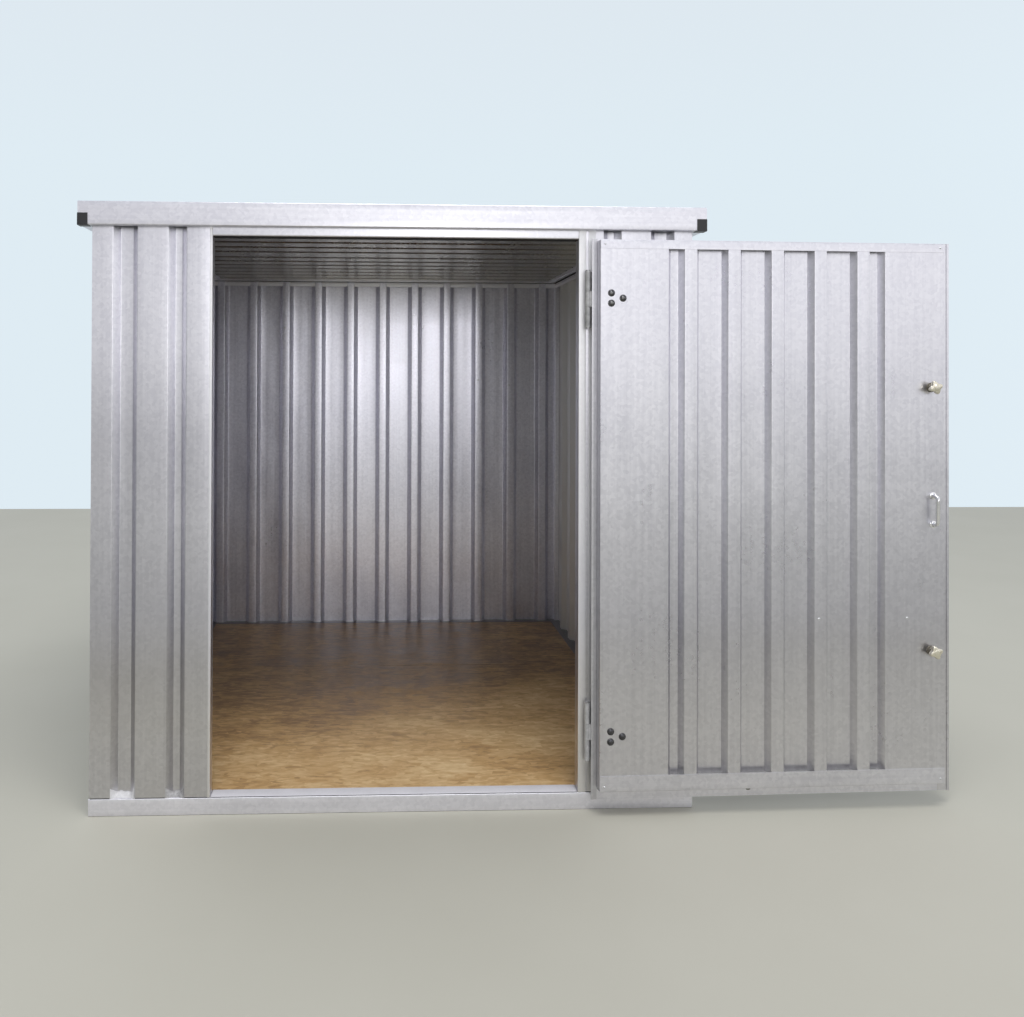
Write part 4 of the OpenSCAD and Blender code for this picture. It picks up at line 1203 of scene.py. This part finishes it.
AROUND = [(-180, 0.90), (-148, 0.90), (-132, 1.35), (-112, 1.25), (-95, 0.42), (-45, 0.42), (-27, 0.80), (-20, 1.04), (-14, 0.88), (-9, 1.02), (-4, 1.26),
          (8, 1.33), (34, 1.25), (60, 1.15), (75, 1.45), (100, 1.45), (125, 0.95), (148, 0.90), (180, 0.90)]
UPWARD = [(0, 0.0), (14, 0.0), (40, 0.9), (60, 1.0)]
ZENITH = (0.72, 0.76, 0.82)
studio_world()


def area(name, loc, target, size, power, colour=(1, 1, 1), size_y=None):
    d = bpy.data.lights.new(name, "AREA")
    d.energy = power
    d.color = colour
    d.shape = "RECTANGLE"
    d.size = size
    d.size_y = size_y or size
    ob = bpy.data.objects.new(name, d)
    bpy.context.scene.collection.objects.link(ob)
    ob.location = loc
    ob.rotation_euler = (Vector(target) - Vector(loc)).to_track_quat("-Z", "Y").to_euler()
    return ob


def rad(power_radiance, w, h):
    return power_radiance * math.pi * w * h


area("key", (0.6, -3.7, 9.0), (0.2, -1.1, 0.4), 4.0, rad(10.0, 4.0, 2.6), (1.0, 0.985, 0.96), 2.6)
area("low_panel", (1.00, -12.0, 2.20), (0.1, 1.0, 1.80), 1.3, rad(9.5, 1.3, 1.4), (1.0, 0.99, 0.98), 1.4)

cam_d = bpy.data.cameras.new("camera")
cam = bpy.data.objects.new("camera", cam_d)
bpy.context.scene.collection.objects.link(cam)
F_PX, PX, PY = 831.7, 401.9, 373.1
yaw, pitch, roll = 0.0366, 0.0066, 0.0037
fwd = Vector((math.sin(yaw) * math.cos(pitch), math.cos(yaw) * math.cos(pitch), math.sin(pitch)))
right = Vector((math.cos(yaw), -math.sin(yaw), 0))
up = right.cross(fwd)
r2 = right * math.cos(roll) + up * math.sin(roll)
u2 = up * math.cos(roll) - right * math.sin(roll)
M = Matrix((( r2.x, u2.x, -fwd.x, -0.0841), (r2.y, u2.y, -fwd.y, -2.8853 - 1.045), (r2.z, u2.z, -fwd.z, 1.4992), (0, 0, 0, 1)))
cam.matrix_world = M
cam_d.sensor_fit = "HORIZONTAL"
cam_d.sensor_width = 36.0
cam_d.lens = F_PX / 1024 * 36.0
cam_d.shift_x = (512 - PX) / 1024
cam_d.shift_y = (PY - 508.5) / 1024
cam_d.clip_start = 0.05
cam_d.clip_end = 200
bpy.context.scene.camera = cam
bpy.context.scene.view_settings.view_transform = "Standard"
